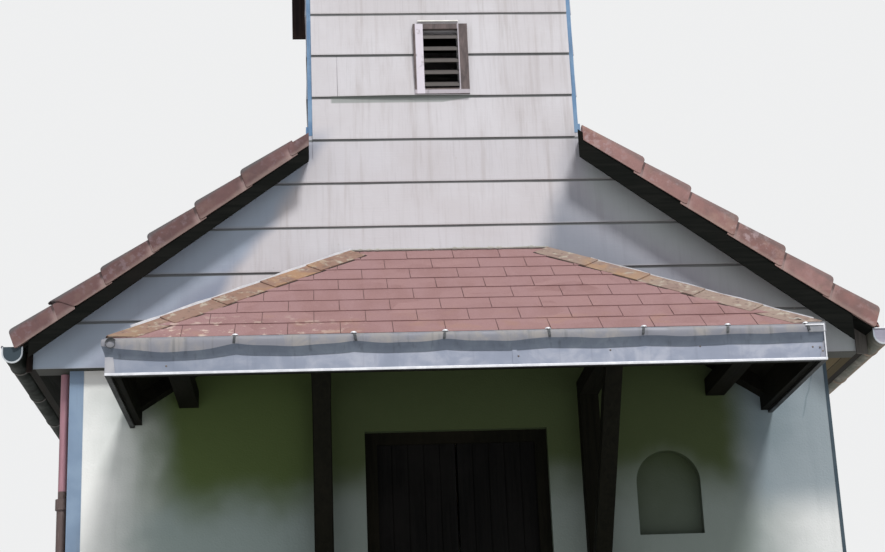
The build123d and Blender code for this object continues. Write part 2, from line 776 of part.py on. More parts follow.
with BuildPart() as canopy_rafters:
    add(canopy_wedge(canopy_deck))
    add(canopy_wedge(canopy_deck + canopy_rafter_depth), mode=Mode.SUBTRACT)
    with BuildSketch(Plane.XY.offset(canopy_soffit_height)) as strips:
        for side in (-1, 1):
            with BuildLine():
                Polyline(*hip_strip(side, canopy_rafter_width, beam_back_y + canopy_rafter_width), close=True)
            make_face()
        with Locations(((0, (beam_back_y + front_y) / 2))):
            Rectangle(canopy_rafter_width, front_y - beam_back_y)
    extrude(strips.sketch, amount=top_z - canopy_soffit_height, mode=Mode.INTERSECT)
save(canopy_rafters, "canopy_rafters")

# Rafters against the wall, under the ends of the side slopes
with BuildPart() as canopy_wall_rafters:
    add(canopy_wedge(canopy_deck))
    add(canopy_wedge(canopy_deck + canopy_rafter_depth), mode=Mode.SUBTRACT)
    wall_rafter_y = gable_front_y - canopy_rafter_width
    with BuildSketch(Plane.XY.offset(canopy_soffit_height)) as strips:
        for side in (-1, 1):
            x_low, x_high = sorted((side * (hip_head_x - canopy_rafter_width), side * beam_inner_x))
            with Locations(((x_low + x_high) / 2, (wall_rafter_y + front_y) / 2)):
                Rectangle(x_high - x_low, front_y - wall_rafter_y)
        for side in (-1, 1):
            with BuildLine():
                Polyline(*hip_strip(side, canopy_rafter_width, beam_back_y + canopy_rafter_width), close=True)
            make_face(mode=Mode.SUBTRACT)
        with BuildLine():
            Polyline((-hip_head_x, front_y), (hip_head_x, front_y), (canopy_half_width, canopy_front_y),
                     (-canopy_half_width, canopy_front_y), close=True)
        make_face(mode=Mode.SUBTRACT)
    extrude(strips.sketch, amount=top_z - canopy_soffit_height, mode=Mode.INTERSECT)
save(canopy_wall_rafters, "canopy_wall_rafters")

# Fascia round three sides of the canopy, and the rolled flashing above it
with BuildPart() as canopy_fascia:
    block(-canopy_half_width, canopy_half_width, canopy_front_y, fascia_back_y,
          canopy_fascia_bottom, canopy_fascia_bottom + canopy_fascia_height)
    for side in (-1, 1):
        x_low, x_high = sorted((side * fascia_inner_x, side * canopy_half_width))
        block(x_low, x_high, fascia_back_y, front_y,
              canopy_fascia_bottom, canopy_fascia_bottom + canopy_fascia_height)
save(canopy_fascia, "canopy_fascia")

flashing_bottom = canopy_fascia_bottom + canopy_fascia_height
with BuildPart() as canopy_flashing:
    with BuildLine() as edge_path:
        Polyline((-fascia_inner_x, front_y, flashing_bottom), (-fascia_inner_x, fascia_back_y, flashing_bottom),
                 (fascia_inner_x, fascia_back_y, flashing_bottom), (fascia_inner_x, front_y, flashing_bottom))
    with BuildSketch(Plane((-fascia_inner_x, front_y, flashing_bottom), (1, 0, 0), (0, -1, 0))) as roll:
        with BuildLine():
            flat = -canopy_fascia_thickness
            Polyline((flat, flashing_height), (0, flashing_height), (0, 0), (flat, 0))
            ThreePointArc((flat, 0), (flat - flashing_bulge, flashing_height / 2), (flat, flashing_height))
        make_face()
    sweep(transition=Transition.RIGHT)
save(canopy_flashing, "canopy_flashing")

# Posts against the wall, their stone feet, the braces, and the arms they carry
post_sides = [(side * post_offset - post_width / 2, side * post_offset + post_width / 2) for side in (-1, 1)]
with BuildPart() as porch_posts:
    for x_low, x_high in post_sides:
        block(x_low, x_high, front_y - post_depth, front_y, post_foot_height, arm_bottom)
save(porch_posts, "porch_posts")

with BuildPart() as post_feet:
    for x_low, x_high in post_sides:
        block(x_low - post_foot_margin, x_high + post_foot_margin, front_y - post_depth - post_foot_margin,
              front_y, 0, post_foot_height)
save(post_feet, "post_feet")

post_face_y = front_y - post_depth
brace_slope = (arm_bottom - brace_foot_height) / (post_face_y - beam_back_y)
brace_upright = brace_thickness * math.hypot(1, brace_slope)
brace_level = brace_upright / brace_slope
with BuildPart() as porch_braces:
    for side in (-1, 1):
        points = [(post_face_y, brace_foot_height), (post_face_y, brace_foot_height + brace_upright),
                  (beam_back_y + brace_level, arm_bottom), (beam_back_y, arm_bottom)]
        x_low = side * post_offset - brace_thickness / 2
        prism_along_x(points, x_low, x_low + brace_thickness)
save(porch_braces, "porch_braces")

with BuildPart() as canopy_arms:
    for side in (-1, 1):
        for offset_x, width in ((post_offset, post_width), (bracket_offset, bracket_width)):
            block(side * offset_x - width / 2, side * offset_x + width / 2, beam_back_y, front_y,
                  arm_bottom, arm_bottom + arm_height)
save(canopy_arms, "canopy_arms")

# Door frame with its stop, and the pins for the hinges
frame_top = door_top - frame_face
with BuildPart() as door_frame:
    with BuildSketch(Plane.XZ.offset(-frame_front_y)) as frame_outline:
        with Locations((0, (floor_level + door_top) / 2)):
            Rectangle(door_width, door_top - floor_level)
        with Locations((0, (floor_level + frame_top) / 2)):
            Rectangle(2 * half_leaf_space, frame_top - floor_level, mode=Mode.SUBTRACT)
    extrude(amount=-frame_depth)
    with BuildSketch(Plane.XZ.offset(-frame_front_y)) as stop_outline:
        with Locations((0, (floor_level + frame_top) / 2)):
            Rectangle(2 * half_leaf_space, frame_top - floor_level)
        with Locations((0, (floor_level + frame_top - stop_width) / 2)):
            Rectangle(2 * (half_leaf_space - stop_width), frame_top - stop_width - floor_level, mode=Mode.SUBTRACT)
    extrude(amount=-stop_depth)
save(door_frame, "door_frame")

knuckle_radius = pin_radius + pin_clearance + knuckle_wall
with BuildPart() as hinge_pins:
    for side in (-1, 1):
        for z in hinge_heights:
            seat_top = z - pin_clearance
            seat_low = seat_top - knuckle_height / 2
            plate_low, plate_high = sorted((side * (pin_x + 6), side * (pin_x + 38)))
            block(plate_low, plate_high, frame_back_y, pin_y + pin_radius, seat_low, seat_top)
            arm_low, arm_high = sorted((side * (pin_x - pin_radius - 2), side * (pin_x + 38)))
            block(arm_low, arm_high, pin_y - pin_radius - 2, pin_y + pin_radius, seat_low, seat_top)
            with Locations((side * pin_x, pin_y, seat_low + knuckle_height * 0.75)):
                Cylinder(pin_radius, knuckle_height * 1.5)
save(hinge_pins, "hinge_pins")


# Two leaves of upright planks that open inwards, with their strap hinges
def leaf_outline(side):
    """Plan of one leaf, with a groove at each plank joint and a bevelled meeting edge."""
    hinge_x = half_leaf_space - leaf_gap
    meet_x = leaf_meeting_gap / 2
    plank = (hinge_x - meet_x) / plank_count
    points = [(hinge_x, leaf_back_y), (hinge_x, leaf_front_y)]
    for n in range(1, plank_count):
        joint = hinge_x - n * plank
        points.append((joint + plank_groove, leaf_front_y))
        points.append((joint, leaf_front_y + plank_groove))
        points.append((joint - plank_groove, leaf_front_y))
    points.append((meet_x + leaf_bevel, leaf_front_y))
    points.append((meet_x, leaf_back_y))
    return [(side * x, y) for x, y in points]


leaf_bottom = floor_level + leaf_bottom_gap
leaf_top = frame_top - leaf_gap
for side, name in ((-1, "left"), (1, "right")):
    with BuildPart() as door_leaf:
        prism_along_z(leaf_outline(side), leaf_bottom, leaf_top)
    save(door_leaf, f"door_leaf_{name}")
    with BuildPart() as door_straps:
        for z in hinge_heights:
            with Locations((side * pin_x, pin_y, z + knuckle_height / 2)):
                Cylinder(knuckle_radius, knuckle_height)
            x_low, x_high = sorted((side * (pin_x - pin_radius), side * (pin_x - strap_length)))
            block(x_low, x_high, leaf_back_y, leaf_back_y + strap_thickness, z, z + knuckle_height)
            with Locations((side * pin_x, pin_y, z + knuckle_height / 2)):
                Cylinder(pin_radius + pin_clearance, knuckle_height, mode=Mode.SUBTRACT)
    save(door_straps, f"door_straps_{name}")

handle_z = floor_level + handle_height
handle_x = leaf_meeting_gap / 2 + handle_inset
handle_half = handle_bar / 2
handle_plate_y = leaf_front_y - handle_plate_thickness
handle_front_y = handle_plate_y - handle_reach
with BuildPart() as door_handle:
    block(handle_x - handle_plate_width / 2, handle_x + handle_plate_width / 2, handle_plate_y, leaf_front_y,
          handle_z - handle_plate_height / 2, handle_z + handle_plate_height / 2)
    block(handle_x - handle_half, handle_x + handle_half, handle_front_y, handle_plate_y,
          handle_z - handle_half, handle_z + handle_half)
    block(handle_x - handle_half, handle_x - handle_half + handle_length,
          handle_front_y, handle_front_y + handle_bar, handle_z - handle_half, handle_z + handle_half)
save(door_handle, "door_handle")
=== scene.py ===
import math
import random

import bmesh
import bpy
from mathutils import Matrix, Vector


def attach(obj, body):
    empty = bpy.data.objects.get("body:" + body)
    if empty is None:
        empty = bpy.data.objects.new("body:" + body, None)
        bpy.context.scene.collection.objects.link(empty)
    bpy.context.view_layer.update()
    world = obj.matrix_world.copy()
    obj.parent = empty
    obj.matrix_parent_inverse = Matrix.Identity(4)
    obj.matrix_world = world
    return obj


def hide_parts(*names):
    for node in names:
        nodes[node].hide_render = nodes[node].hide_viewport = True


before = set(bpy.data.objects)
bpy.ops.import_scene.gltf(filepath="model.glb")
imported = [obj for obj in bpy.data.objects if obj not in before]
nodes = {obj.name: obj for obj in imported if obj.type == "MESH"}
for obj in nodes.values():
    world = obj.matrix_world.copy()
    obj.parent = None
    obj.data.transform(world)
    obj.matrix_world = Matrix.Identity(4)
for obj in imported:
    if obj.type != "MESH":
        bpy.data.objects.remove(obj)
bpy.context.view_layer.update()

random.seed(7)

# Sizes in metres, the same as the solids'
FRONT = -3.3                # masonry front
GABLE = -3.367              # boarded front
GABLE_BACK = 3.367
WALL_TOP = 2.785
COURSE = 0.3403             # board exposure
RIDGE = 5.2
SLOPE = math.tan(math.radians(36))
SLOPE_COS = math.cos(math.radians(36))
SLOPE_SIN = math.sin(math.radians(36))
HALF_SPAN = 3.06
TILE = 0.06
TILE_LAP = 0.026
TILE_EXPOSURE = 0.403
COURSE_RUN = TILE_EXPOSURE * SLOPE_COS     # seen from above
DECK = 0.054
ROOF_FRONT = -3.567
ROOF_BACK = 3.567
BOARD_EDGE = 2.931
TOWER_HALF = 1.0
TOWER_BACK = -1.367
TOWER_CENTRE = -2.367
TOWER_TOP = 6.8686
CANOPY_FRONT = -4.751
CANOPY_HALF = 2.275
CANOPY_TOP_HALF = 0.705
CANOPY_EAVE = 2.6
CANOPY_TOP = 3.614
CANOPY_FASCIA = 2.365
CANOPY_DEPTH = GABLE - CANOPY_FRONT
CANOPY_RISE = CANOPY_TOP - CANOPY_EAVE
FRONT_SLOPE = CANOPY_RISE / CANOPY_DEPTH
SIDE_SLOPE = CANOPY_RISE / (CANOPY_HALF - CANOPY_TOP_HALF)
STRIP = 0.031               # width of the tower's corner strips

# Sizes that only the visible pieces have
FASCIA_FACE = CANOPY_FRONT - 0.0002
TILE_WIDTH = 0.3
TAB_WIDTH, TAB_SLOT, TAB_LIFT = 0.333, 0.0045, 0.001
UP = Vector((0, 0, 1))
SIDES = {-1: "left", 1: "right"}


def cover(x):
    """Height of the tile noses at a distance from the ridge line."""
    return RIDGE - abs(x) * SLOPE


def deck_bottom(x):
    """Height of the roof boarding's underside at a distance from the ridge line."""
    return cover(x) - (TILE + DECK) / SLOPE_COS


def add_object(name, data):
    """An object with this data, placed in the scene."""
    thing = bpy.data.objects.new(name, data)
    bpy.context.scene.collection.objects.link(thing)
    return thing


def node_sum(kind, swapped=False):
    """A method that joins a value with another one, or with a number, in a math node."""
    def method(self, other=0.0):
        return self.graph.math(kind, other, self) if swapped else self.graph.math(kind, self, other)
    return method


class Value:
    """A node's output; arithmetic on it adds math nodes."""

    def __init__(self, graph, socket):
        self.graph, self.socket = graph, socket

    __add__ = node_sum("ADD")
    __sub__ = node_sum("SUBTRACT")
    __rsub__ = node_sum("SUBTRACT", True)
    __mul__ = node_sum("MULTIPLY")
    __truediv__ = node_sum("DIVIDE")
    __lt__ = node_sum("LESS_THAN")
    __gt__ = node_sum("GREATER_THAN")
    __abs__ = node_sum("ABSOLUTE")


class Graph:
    """A node tree to which nodes are added one by one."""

    def __init__(self, tree):
        self.tree = tree

    def feed(self, value, target):
        if isinstance(value, Value):
            self.tree.links.new(value.socket, target)
        elif isinstance(value, tuple) and target.type == "RGBA":
            target.default_value = (*value, 1.0)
        else:
            target.default_value = value

    def new(self, kind, inputs, output=0, **settings):
        """A node with these settings and inputs, as the value of one of its outputs."""
        node = self.tree.nodes.new("ShaderNode" + kind)
        for name, setting in settings.items():
            setattr(node, name, setting)
        for name, value in inputs.items():
            self.feed(value, node.inputs[name])
        return Value(self, node.outputs[output])

    def math(self, kind, a, b=0.0):
        return self.new("Math", {0: a, 1: b}, operation=kind)


class Paint(Graph):
    """A procedural material, built up node by node from object coordinates in metres."""

    def __init__(self, name, roughness=0.6, metallic=0.0, specular=0.5):
        self.material = bpy.data.materials.new(name)
        self.material.use_nodes = True
        super().__init__(self.material.node_tree)
        self.shader = self.tree.nodes["Principled BSDF"].inputs
        for socket, value in (("Roughness", roughness), ("Metallic", metallic), ("Specular IOR Level", specular)):
            self.feed(value, self.shader[socket])
        self.place = self.new("TexCoord", {}, "Object")
        parts = self.new("SeparateXYZ", {0: self.place}).socket.node
        self.x, self.y, self.z = (Value(self, part) for part in parts.outputs)

    def noise(self, scale, detail=4.0, rough=0.55, place=None, distortion=0.0):
        return self.new("TexNoise", {"Vector": place or self.place, "Scale": scale, "Detail": detail,
                                     "Roughness": rough, "Distortion": distortion}, "Fac")

    def scaled(self, x, y, z):
        """Object coordinates stretched along each axis."""
        return self.new("Mapping", {"Vector": self.place, "Scale": (x, y, z)})

    def grain(self, scale, detail, rough=0.6, distortion=0.0):
        """Noise stretched along each axis."""
        return self.noise(1.0, detail, rough, self.scaled(*scale), distortion)

    def waver(self, amount, scale, detail):
        """Noise to either side of zero."""
        return (self.noise(scale, detail) - 0.5) * amount

    def patches(self, scale, detail, low, high):
        """Noise eased between two limits."""
        return self.span(self.noise(scale, detail), low, high)

    def cells(self, scale, place=None, output="Distance"):
        return self.new("TexVoronoi", {"Vector": place or self.place, "Scale": scale}, output)

    def most(self, a, b):
        return self.math("MAXIMUM", a, b)

    def span(self, value, low, high, to_low=0.0, to_high=1.0):
        """A value eased from one range to another, and held at its ends."""
        return self.new("MapRange", {"Value": value, "From Min": low, "From Max": high, "To Min": to_low,
                                     "To Max": to_high}, interpolation_type="SMOOTHSTEP")

    def mix(self, amount, a, b, kind="MIX"):
        return self.new("Mix", {"Factor": amount, 6: a, 7: b}, 2, data_type="RGBA", blend_type=kind)

    def tint(self, amount, colour, kind="MIX"):
        """Mixes a colour into the tone so far."""
        self.tone = self.mix(amount, self.tone, colour, kind)

    def chance(self, *place):
        """A random number for each cell whose whole-number coordinates are given."""
        return self.new("TexWhiteNoise", {"Vector": self.new("CombineXYZ", dict(enumerate(place)))}, "Value")

    def cell(self, value, start, step):
        """The number of the course or column that a point lies in."""
        return self.math("FLOOR", (value - start) / step)

    def colour(self, value):
        self.feed(value, self.shader["Base Color"])

    def rough(self, value):
        self.feed(value, self.shader["Roughness"])

    def finish(self, height, distance, strength=1.0):
        """The material with its last tone and its bump."""
        self.colour(self.tone)
        bump = self.new("Bump", {"Strength": strength, "Distance": distance, "Height": height})
        self.feed(bump, self.shader["Normal"])
        return self.material


def painted_boards():
    """Whitish paint on wide boards, streaked downwards by rain, with painted shade below the verges, painted shadow
    under the laps and under a sprung board, and painted shade on the undersides.
    """
    p = Paint("painted_boards", roughness=0.68, specular=0.35)
    course = p.cell(p.z, WALL_TOP, COURSE)
    p.tone = p.mix(p.chance(course), (0.545, 0.53, 0.565), (0.605, 0.59, 0.62))
    cloud = p.patches(1.7, 5.0, 0.35, 0.7)
    p.tint(cloud * 0.5, (0.475, 0.445, 0.46))
    streak = p.span(p.grain((17, 17, 0.9), 5.0, 0.62), 0.5, 0.76)
    p.tint(streak * 0.42, (0.345, 0.305, 0.3))
    fine = p.span(p.grain((60, 60, 2.4), 3.0), 0.52, 0.7)
    p.tint(fine * 0.16, (0.33, 0.31, 0.32))
    # Painted shade: below each verge the gable boards turn blue-grey, up to slanting lines at the front where the
    # verges' shadows end; the back gable gets the same, mirrored
    low = p.span(p.z, 4.62, 4.42)
    waver = p.waver(0.14, 3.0, 3.0)
    lean = (p.z - 3.483) * -0.6385 + (p.x + 1.507)
    left = p.span(lean + waver, 0.07, -0.09)
    lean = p.x - (p.z * 0.33 - 0.538)
    right = p.span(lean + waver, -0.09, 0.14) * 0.9
    rear = p.span(abs(p.x), 0.9, 1.9)
    side = p.mix(p.y > 0.0, p.most(left, right), rear)
    below = deck_bottom(0) - (p.z + abs(p.x) * SLOPE)
    below = below + p.waver(0.3, 2.6, 3.0)
    near_roof = p.span(below, 0.75, 0.1)
    painted_verge_shade = side * low * (0.92 - near_roof * 0.42)
    p.tint(painted_verge_shade, p.mix(p.x > 0.0, (0.168, 0.216, 0.315), (0.15, 0.175, 0.225)))
    # Near the verges the painted shade is lighter, bluish on the left and green-grey on the right
    green = side * low * p.span(below, 0.42, 0.1)
    tint = p.mix(p.x > 0.0, (0.45, 0.6, 0.76), (0.42, 0.5, 0.49))
    green = p.most(green, left * (p.y < 0.0) * p.span(below, 0.5, 0.15))
    green = green * p.span(abs(p.x), 0.96, 1.12)
    p.tint(green * 0.5, tint)
    within = (p.z - WALL_TOP) / COURSE - course
    wobble = p.waver(0.03, 2.3, 2.0)
    # A dark line under each lap: painted shadow, with some dirt
    edge = p.span(within + wobble, 0.942, 0.958)
    p.tint(edge * 0.86, (0.12, 0.13, 0.13))
    drip = p.span(within + wobble, 0.05, 0.0)
    p.tint(drip * 0.3, (0.36, 0.35, 0.34))
    speck = p.span(p.cells(9.0), 0.1, 0.03)
    spots = speck * p.span(p.noise(3.0), 0.55, 0.7)
    p.tint(spots * 0.5, (0.35, 0.31, 0.28))
    # Painted shadow on the board below the sprung foot, under the small louvre
    rising = p.z - p.most(p.x, 0.0) * 0.16
    sprung = p.span(rising, 4.771, 4.783) * (p.z < 4.8285)
    sprung = sprung * p.span(p.x, 0.26, 0.2) * p.span(p.x, -0.84, -0.82) * (p.y < FRONT)
    p.tint(sprung * 0.7, (0.19, 0.22, 0.205))
    # The boards' undersides at the wall top are painted nearly black as shade
    under = p.z < WALL_TOP + 0.001
    p.tint(under, (0.03, 0.032, 0.026))
    grain = p.grain((6, 6, 90), 4.0)
    return p.finish(grain * 0.6 + p.noise(14.0), 0.0022, 0.5)


def lime_render():
    """Lime render, pale outside, with painted shade under the canopy that turns dark green near its top, standing in
    for green bounce light, painted shade in the niche and on the upper right of the front, and green damp near the
    ground.
    """
    p = Paint("lime_render", roughness=0.9, specular=0.2)
    p.tone = p.mix(p.patches(1.1, 5.0, 0.3, 0.72), (0.85, 0.85, 0.84), (0.78, 0.785, 0.77))
    stain = p.span(p.grain((9, 9, 0.7), 5.0), 0.5, 0.8)
    p.tint(stain * 0.28, (0.4, 0.41, 0.38))
    front = p.span(p.y, -3.15, -3.2)
    drift = p.waver(0.7, 1.3, 3.0)
    inward = abs(p.x) + drift
    # Painted shade of the canopy on the front wall, darker on the left
    painted_canopy_shade = p.span(inward, 2.66, 1.9) * front
    side = p.span(p.x, -0.7, -1.2)
    p.tint(painted_canopy_shade * 0.88, p.mix(side, (0.125, 0.165, 0.148), (0.175, 0.235, 0.225)))
    height = p.z + drift
    # Near its top the painted shade turns dark green, standing in for green bounce light
    painted_green_shade = p.span(inward, 2.4, 1.9) * front * p.span(height, 1.6, 2.1)
    p.tint(painted_green_shade * 0.91, p.mix(side, (0.044, 0.062, 0.013), (0.064, 0.095, 0.013)))
    damp = p.span(p.z + p.noise(3.0) * 0.5, 0.75, 0.3)
    outside = p.most(front, p.span(abs(p.x), 2.66, 2.69))
    outside = p.most(outside, p.span(p.y, 3.2, 3.25))
    p.tint(damp * outside * 0.6, (0.27, 0.285, 0.21))
    # Painted shade inside the niche
    painted_recess_shade = p.span(p.y, -3.297, -3.285) * front
    p.tint(painted_recess_shade * 0.7, (0.035, 0.048, 0.022))
    # A thin dark slanting line near the top of the right-hand front wall
    lean = p.x + p.z * -0.324
    waver = p.waver(0.03, 7.0, 2.0)
    near = abs(lean + waver - 1.737)
    run = p.span(near, 0.0085, 0.0025) * p.span(p.z, 2.3, 2.36)
    run = run * front * p.patches(9.0, 2.0, 0.22, 0.42)
    p.tint(run * 0.72, (0.1, 0.115, 0.11))
    high = p.span(p.z + drift * 0.25, 1.55, 1.9, 0.25, 0.85)
    shaded = p.span(p.x, 1.9, 2.2) * front * high
    p.tint(shaded, (0.165, 0.215, 0.25))
    coarse = p.noise(70.0, 3.0)
    return p.finish(coarse + p.noise(9.0) * 1.6, 0.004, 0.55)


def cast_concrete():
    p = Paint("cast_concrete", roughness=0.85)
    p.tone = p.mix(p.patches(3.0, 6.0, 0.3, 0.7), (0.42, 0.41, 0.38), (0.3, 0.3, 0.27))
    p.tint(p.span(p.noise(34.0), 0.55, 0.7) * 0.4, (0.22, 0.21, 0.19))
    return p.finish(p.noise(55.0, 4.0), 0.003, 0.6)


def stained_timber(name, dark, pale, wear, grain_axis="Z", roughness=0.72, board_width=None):
    """Stained wood with its grain along one axis, a little worn colour and, on boarding, the joints, brown wear at the
    right eave and painted shade at the left one.
    """
    p = Paint(name, roughness=roughness, specular=0.05)
    scale = {"X": (2.2, 42, 42), "Y": (42, 2.2, 42), "Z": (42, 42, 2.2)}[grain_axis]
    grain = p.grain(scale, 5.0, 0.6, 0.6)
    p.tone = p.mix(p.span(grain, 0.3, 0.7), dark, pale)
    p.tint(p.patches(2.0, 4.0, 0.5, 0.75) * 0.5, wear)
    if board_width:
        number = p.cell(p.x, 0.0, board_width)
        within = p.x / board_width - number
        p.tint(p.chance(number) * 0.4, dark)
        # The boards are worn brown at the right eave; at the left one painted shade makes them nearly black
        right = (p.x > 2.0) * p.span(p.chance(number), 0.0, 1.0, 0.45, 0.95)
        p.tint(right, (0.135, 0.105, 0.06))
        p.tint((p.x < -2.0) * 0.93, (0.003, 0.004, 0.003))
        p.tint((within < 0.06) * 0.9, (0.002, 0.002, 0.002))
    p.rough(p.span(grain, 0.2, 0.8, roughness - 0.1, min(roughness + 0.16, 1.0)))
    return p.finish(grain, 0.003, 0.5)


def louvre_wood():
    """Bare brown wood with rests of white paint, most on the left member."""
    p = Paint("louvre_wood", roughness=0.72)
    grain = p.grain((30, 30, 9), 5.0, 0.6, 0.4)
    p.tone = p.mix(p.span(grain, 0.3, 0.7), (0.062, 0.047, 0.047), (0.13, 0.098, 0.096))
    slats = p.span(p.y, -3.398, -3.394)
    p.tint(slats * 0.8, (0.088, 0.082, 0.078))
    left = p.span(p.x, -0.129, -0.131) * p.span(p.x, -0.192, -0.186)
    beads = p.span(p.x, 0.1275, 0.129) * p.span(p.x, 0.141, 0.139)
    front = p.span(p.y, -3.394, -3.398)
    lower = p.span(p.z, 4.87, 4.862) * 0.6
    paint = p.most(left, p.most(lower, beads * 0.6))
    paint = paint * front * p.patches(17.0, 5.0, 0.2, 0.44)
    p.tint(paint * 0.93, (0.66, 0.62, 0.69))
    return p.finish(grain, 0.003, 0.6)


def clay_tiles(name, lichen=0.5):
    """Red-brown tiles, each a little different, with grey lichen."""
    p = Paint(name, roughness=0.78)
    row = p.cell(p.z, cover(HALF_SPAN) - 0.03, TILE_EXPOSURE * SLOPE_SIN)
    column = p.cell(p.y, ROOF_FRONT, 0.3)
    each = p.chance(row, column, p.math("SIGN", p.x))
    p.tone = p.mix(each, (0.2, 0.098, 0.088), (0.285, 0.155, 0.145))
    p.tint(p.patches(6.0, 6.0, 0.4, 0.7) * 0.55, (0.13, 0.082, 0.078))
    grey = p.span(p.noise(21.0, 5.0, 0.65), 0.5, 0.66) * p.patches(2.1, 3.0, 0.36, 0.62)
    p.tint(grey * lichen, (0.36, 0.26, 0.27))
    moss = p.patches(38.0, 3.0, 0.6, 0.7) * p.patches(3.4, 3.0, 0.5, 0.7)
    p.tint(moss * 0.5, (0.1, 0.115, 0.05))
    if name == "verge_clay":
        # Worn faces; painted shade makes them darker at the left rake and dark along the top edge, with a painted
        # shadow under each nose and a pale lower lip
        worn = p.span(p.noise(5.0, 5.0, 0.6), 0.5, 0.7) * 0.55
        p.tint(worn, (0.33, 0.21, 0.17))
        # Painted shade on the left rake
        p.tint(p.span(p.x, 0.3, -0.3), (0.5, 0.47, 0.5), "MULTIPLY")
        above = p.z + abs(p.x) * SLOPE - RIDGE
        above = above + p.waver(0.05, 8.0, 3.0)
        # Painted shade along the top edge
        painted_top_shade = p.span(above, 0.0, 0.045) * p.span(p.x, 0.3, -0.3, 0.4, 0.75)
        p.tint(painted_top_shade, (0.085, 0.09, 0.095))
        off = abs(p.x) + above * -0.29
        start = p.span(p.x, -0.01, 0.01, 1.484, 1.424)
        within = p.math("FRACT", (off - start) / COURSE_RUN)
        # Painted shadow under each nose
        painted_nose_shadow = (within < 0.042) * p.span(off, 1.3, 1.34, 0.0, 0.75)
        p.tint(painted_nose_shadow, (0.035, 0.022, 0.022))
        pale_end = p.span(within, 0.0, 0.16, 1.0, 0.0) * p.span(above, -0.02, -0.07, 0.0, 0.6)
        p.tint(pale_end, (0.36, 0.25, 0.24))
        lip = p.span(above, -0.075, -0.11) * 0.35
        p.tint(lip, (0.33, 0.25, 0.22))
    return p.finish(p.noise(120.0, 3.0) + p.noise(18.0, 4.0), 0.002, 0.5)


def roof_shingles():
    """Brick-pink mineral granules, with pale and orange lichen towards the eave and the hips."""
    p = Paint("roof_shingles", roughness=0.93, specular=0.25)
    each = p.cells(1.0, p.scaled(3.0, 5.2, 7.2), "Color")
    p.tone = p.mix(each, (0.245, 0.135, 0.132), (0.32, 0.19, 0.187))
    p.tint(p.span(p.grain((7, 2, 2), 4.0), 0.35, 0.7), (0.3, 0.178, 0.18))
    grains = p.noise(420.0, 1.0)
    p.tint(p.span(grains, 0.5, 0.66) * 0.4, (0.16, 0.085, 0.085))
    p.tint(p.span(grains, 0.46, 0.34) * 0.35, (0.46, 0.32, 0.31))
    low = p.span(p.z, 2.9, 2.62) * p.span(p.x, -0.3, -1.6)
    lichen = p.patches(13.0, 4.0, 0.57, 0.66) * low
    p.tint(lichen * 0.75, (0.62, 0.52, 0.44))
    rust = p.patches(4.0, 4.0, 0.5, 0.7) * p.span(p.z, 3.0, 2.65)
    p.tint(rust * 0.3, (0.34, 0.2, 0.12))
    return p.finish(grains, 0.0016, 0.5)


def hip_metal():
    """Sheet hip caps, rust-orange and beige with lichen."""
    p = Paint("hip_caps", roughness=0.8)
    left = p.span(p.x, 0.2, -0.2)
    base = p.mix(left, (0.24, 0.165, 0.14), (0.225, 0.13, 0.095))
    p.tone = p.mix(p.span(p.noise(5.0, 6.0, 0.6), 0.34, 0.66), base,
                   p.mix(left, (0.285, 0.215, 0.175), (0.25, 0.155, 0.12)))
    p.tint(p.patches(16.0, 4.0, 0.54, 0.68) * 0.7, (0.42, 0.38, 0.31))
    p.tint(p.patches(26.0, 4.0, 0.55, 0.68) * 0.7, (0.13, 0.085, 0.07))
    foot = p.span(p.x, -1.95, -2.12) * p.patches(11.0, 3.0, 0.36, 0.52)
    p.tint(foot * 0.22, (0.34, 0.25, 0.11))
    warm = p.span(abs(p.x), 1.55, 1.1) * p.patches(7.0, 3.0, 0.4, 0.6)
    warm = warm * p.span(abs(p.x), 0.86, 1.0)
    p.tint(warm * 0.6, (0.38, 0.22, 0.11))
    return p.finish(p.noise(60.0, 4.0), 0.002, 0.6)


def weathered_zinc(name, base, pale, dark, amount=0.5, roughness=0.5, metallic=0.35):
    """Sheet metal that has gone dull, with soft clouds of oxide; some sheets also get painted shade where noted."""
    p = Paint(name, roughness, metallic, 0.12 if name == "zinc_gutter" else 0.5)
    cloud = p.noise(5.5, 5.0, 0.6, distortion=0.5)
    p.tone = p.mix(p.span(cloud, 0.42, 0.68), base, pale)
    run = p.grain((24, 24, 1.6), 4.0)
    p.tint(p.span(run, 0.52, 0.76) * amount, dark)
    if name == "zinc_fascia":
        # The fascia's underside and inner faces are painted nearly black as shade; its front also darkens and turns
        # bluer towards the left end
        under = p.z < CANOPY_FASCIA + 0.0006
        painted_inner_shade = (abs(p.x) < CANOPY_HALF - 0.003) * (p.y > CANOPY_FRONT + 0.003)
        p.tint(p.span(p.x, -0.7, -2.0) * 0.5, (0.19, 0.225, 0.29))
        p.tint(p.most(under, painted_inner_shade), (0.012, 0.012, 0.012))
    if name in ("zinc_gutter", "zinc_end_caps"):
        # Painted shade: the left gutter's front part and its end caps are made nearly black
        left = (p.x < 0.0) * p.span(p.y, 2.5, 1.0)
        p.tint(left * 0.99, (0.003, 0.006, 0.0035) if name == "zinc_gutter" else (0.03, 0.05, 0.065))
    if name == "zinc_gutter":
        outer = p.x + p.noise(5.0, 4.0) * 0.05
        p.tint(p.span(outer, 3.075, 3.12) * 0.7, (0.2, 0.115, 0.06))
    if name == "zinc_corner":
        # Lighter on the left wall; on the right wall painted shade makes the strip nearly black
        p.tint((p.x < -2.0) * 0.55, (0.29, 0.36, 0.46))
        p.tint((p.x > 2.0) * 0.85, (0.03, 0.043, 0.044))
    p.rough(p.span(cloud, 0.3, 0.7, roughness - 0.08, roughness + 0.14))
    return p.finish(p.noise(26.0, 3.0), 0.0015, 0.35)


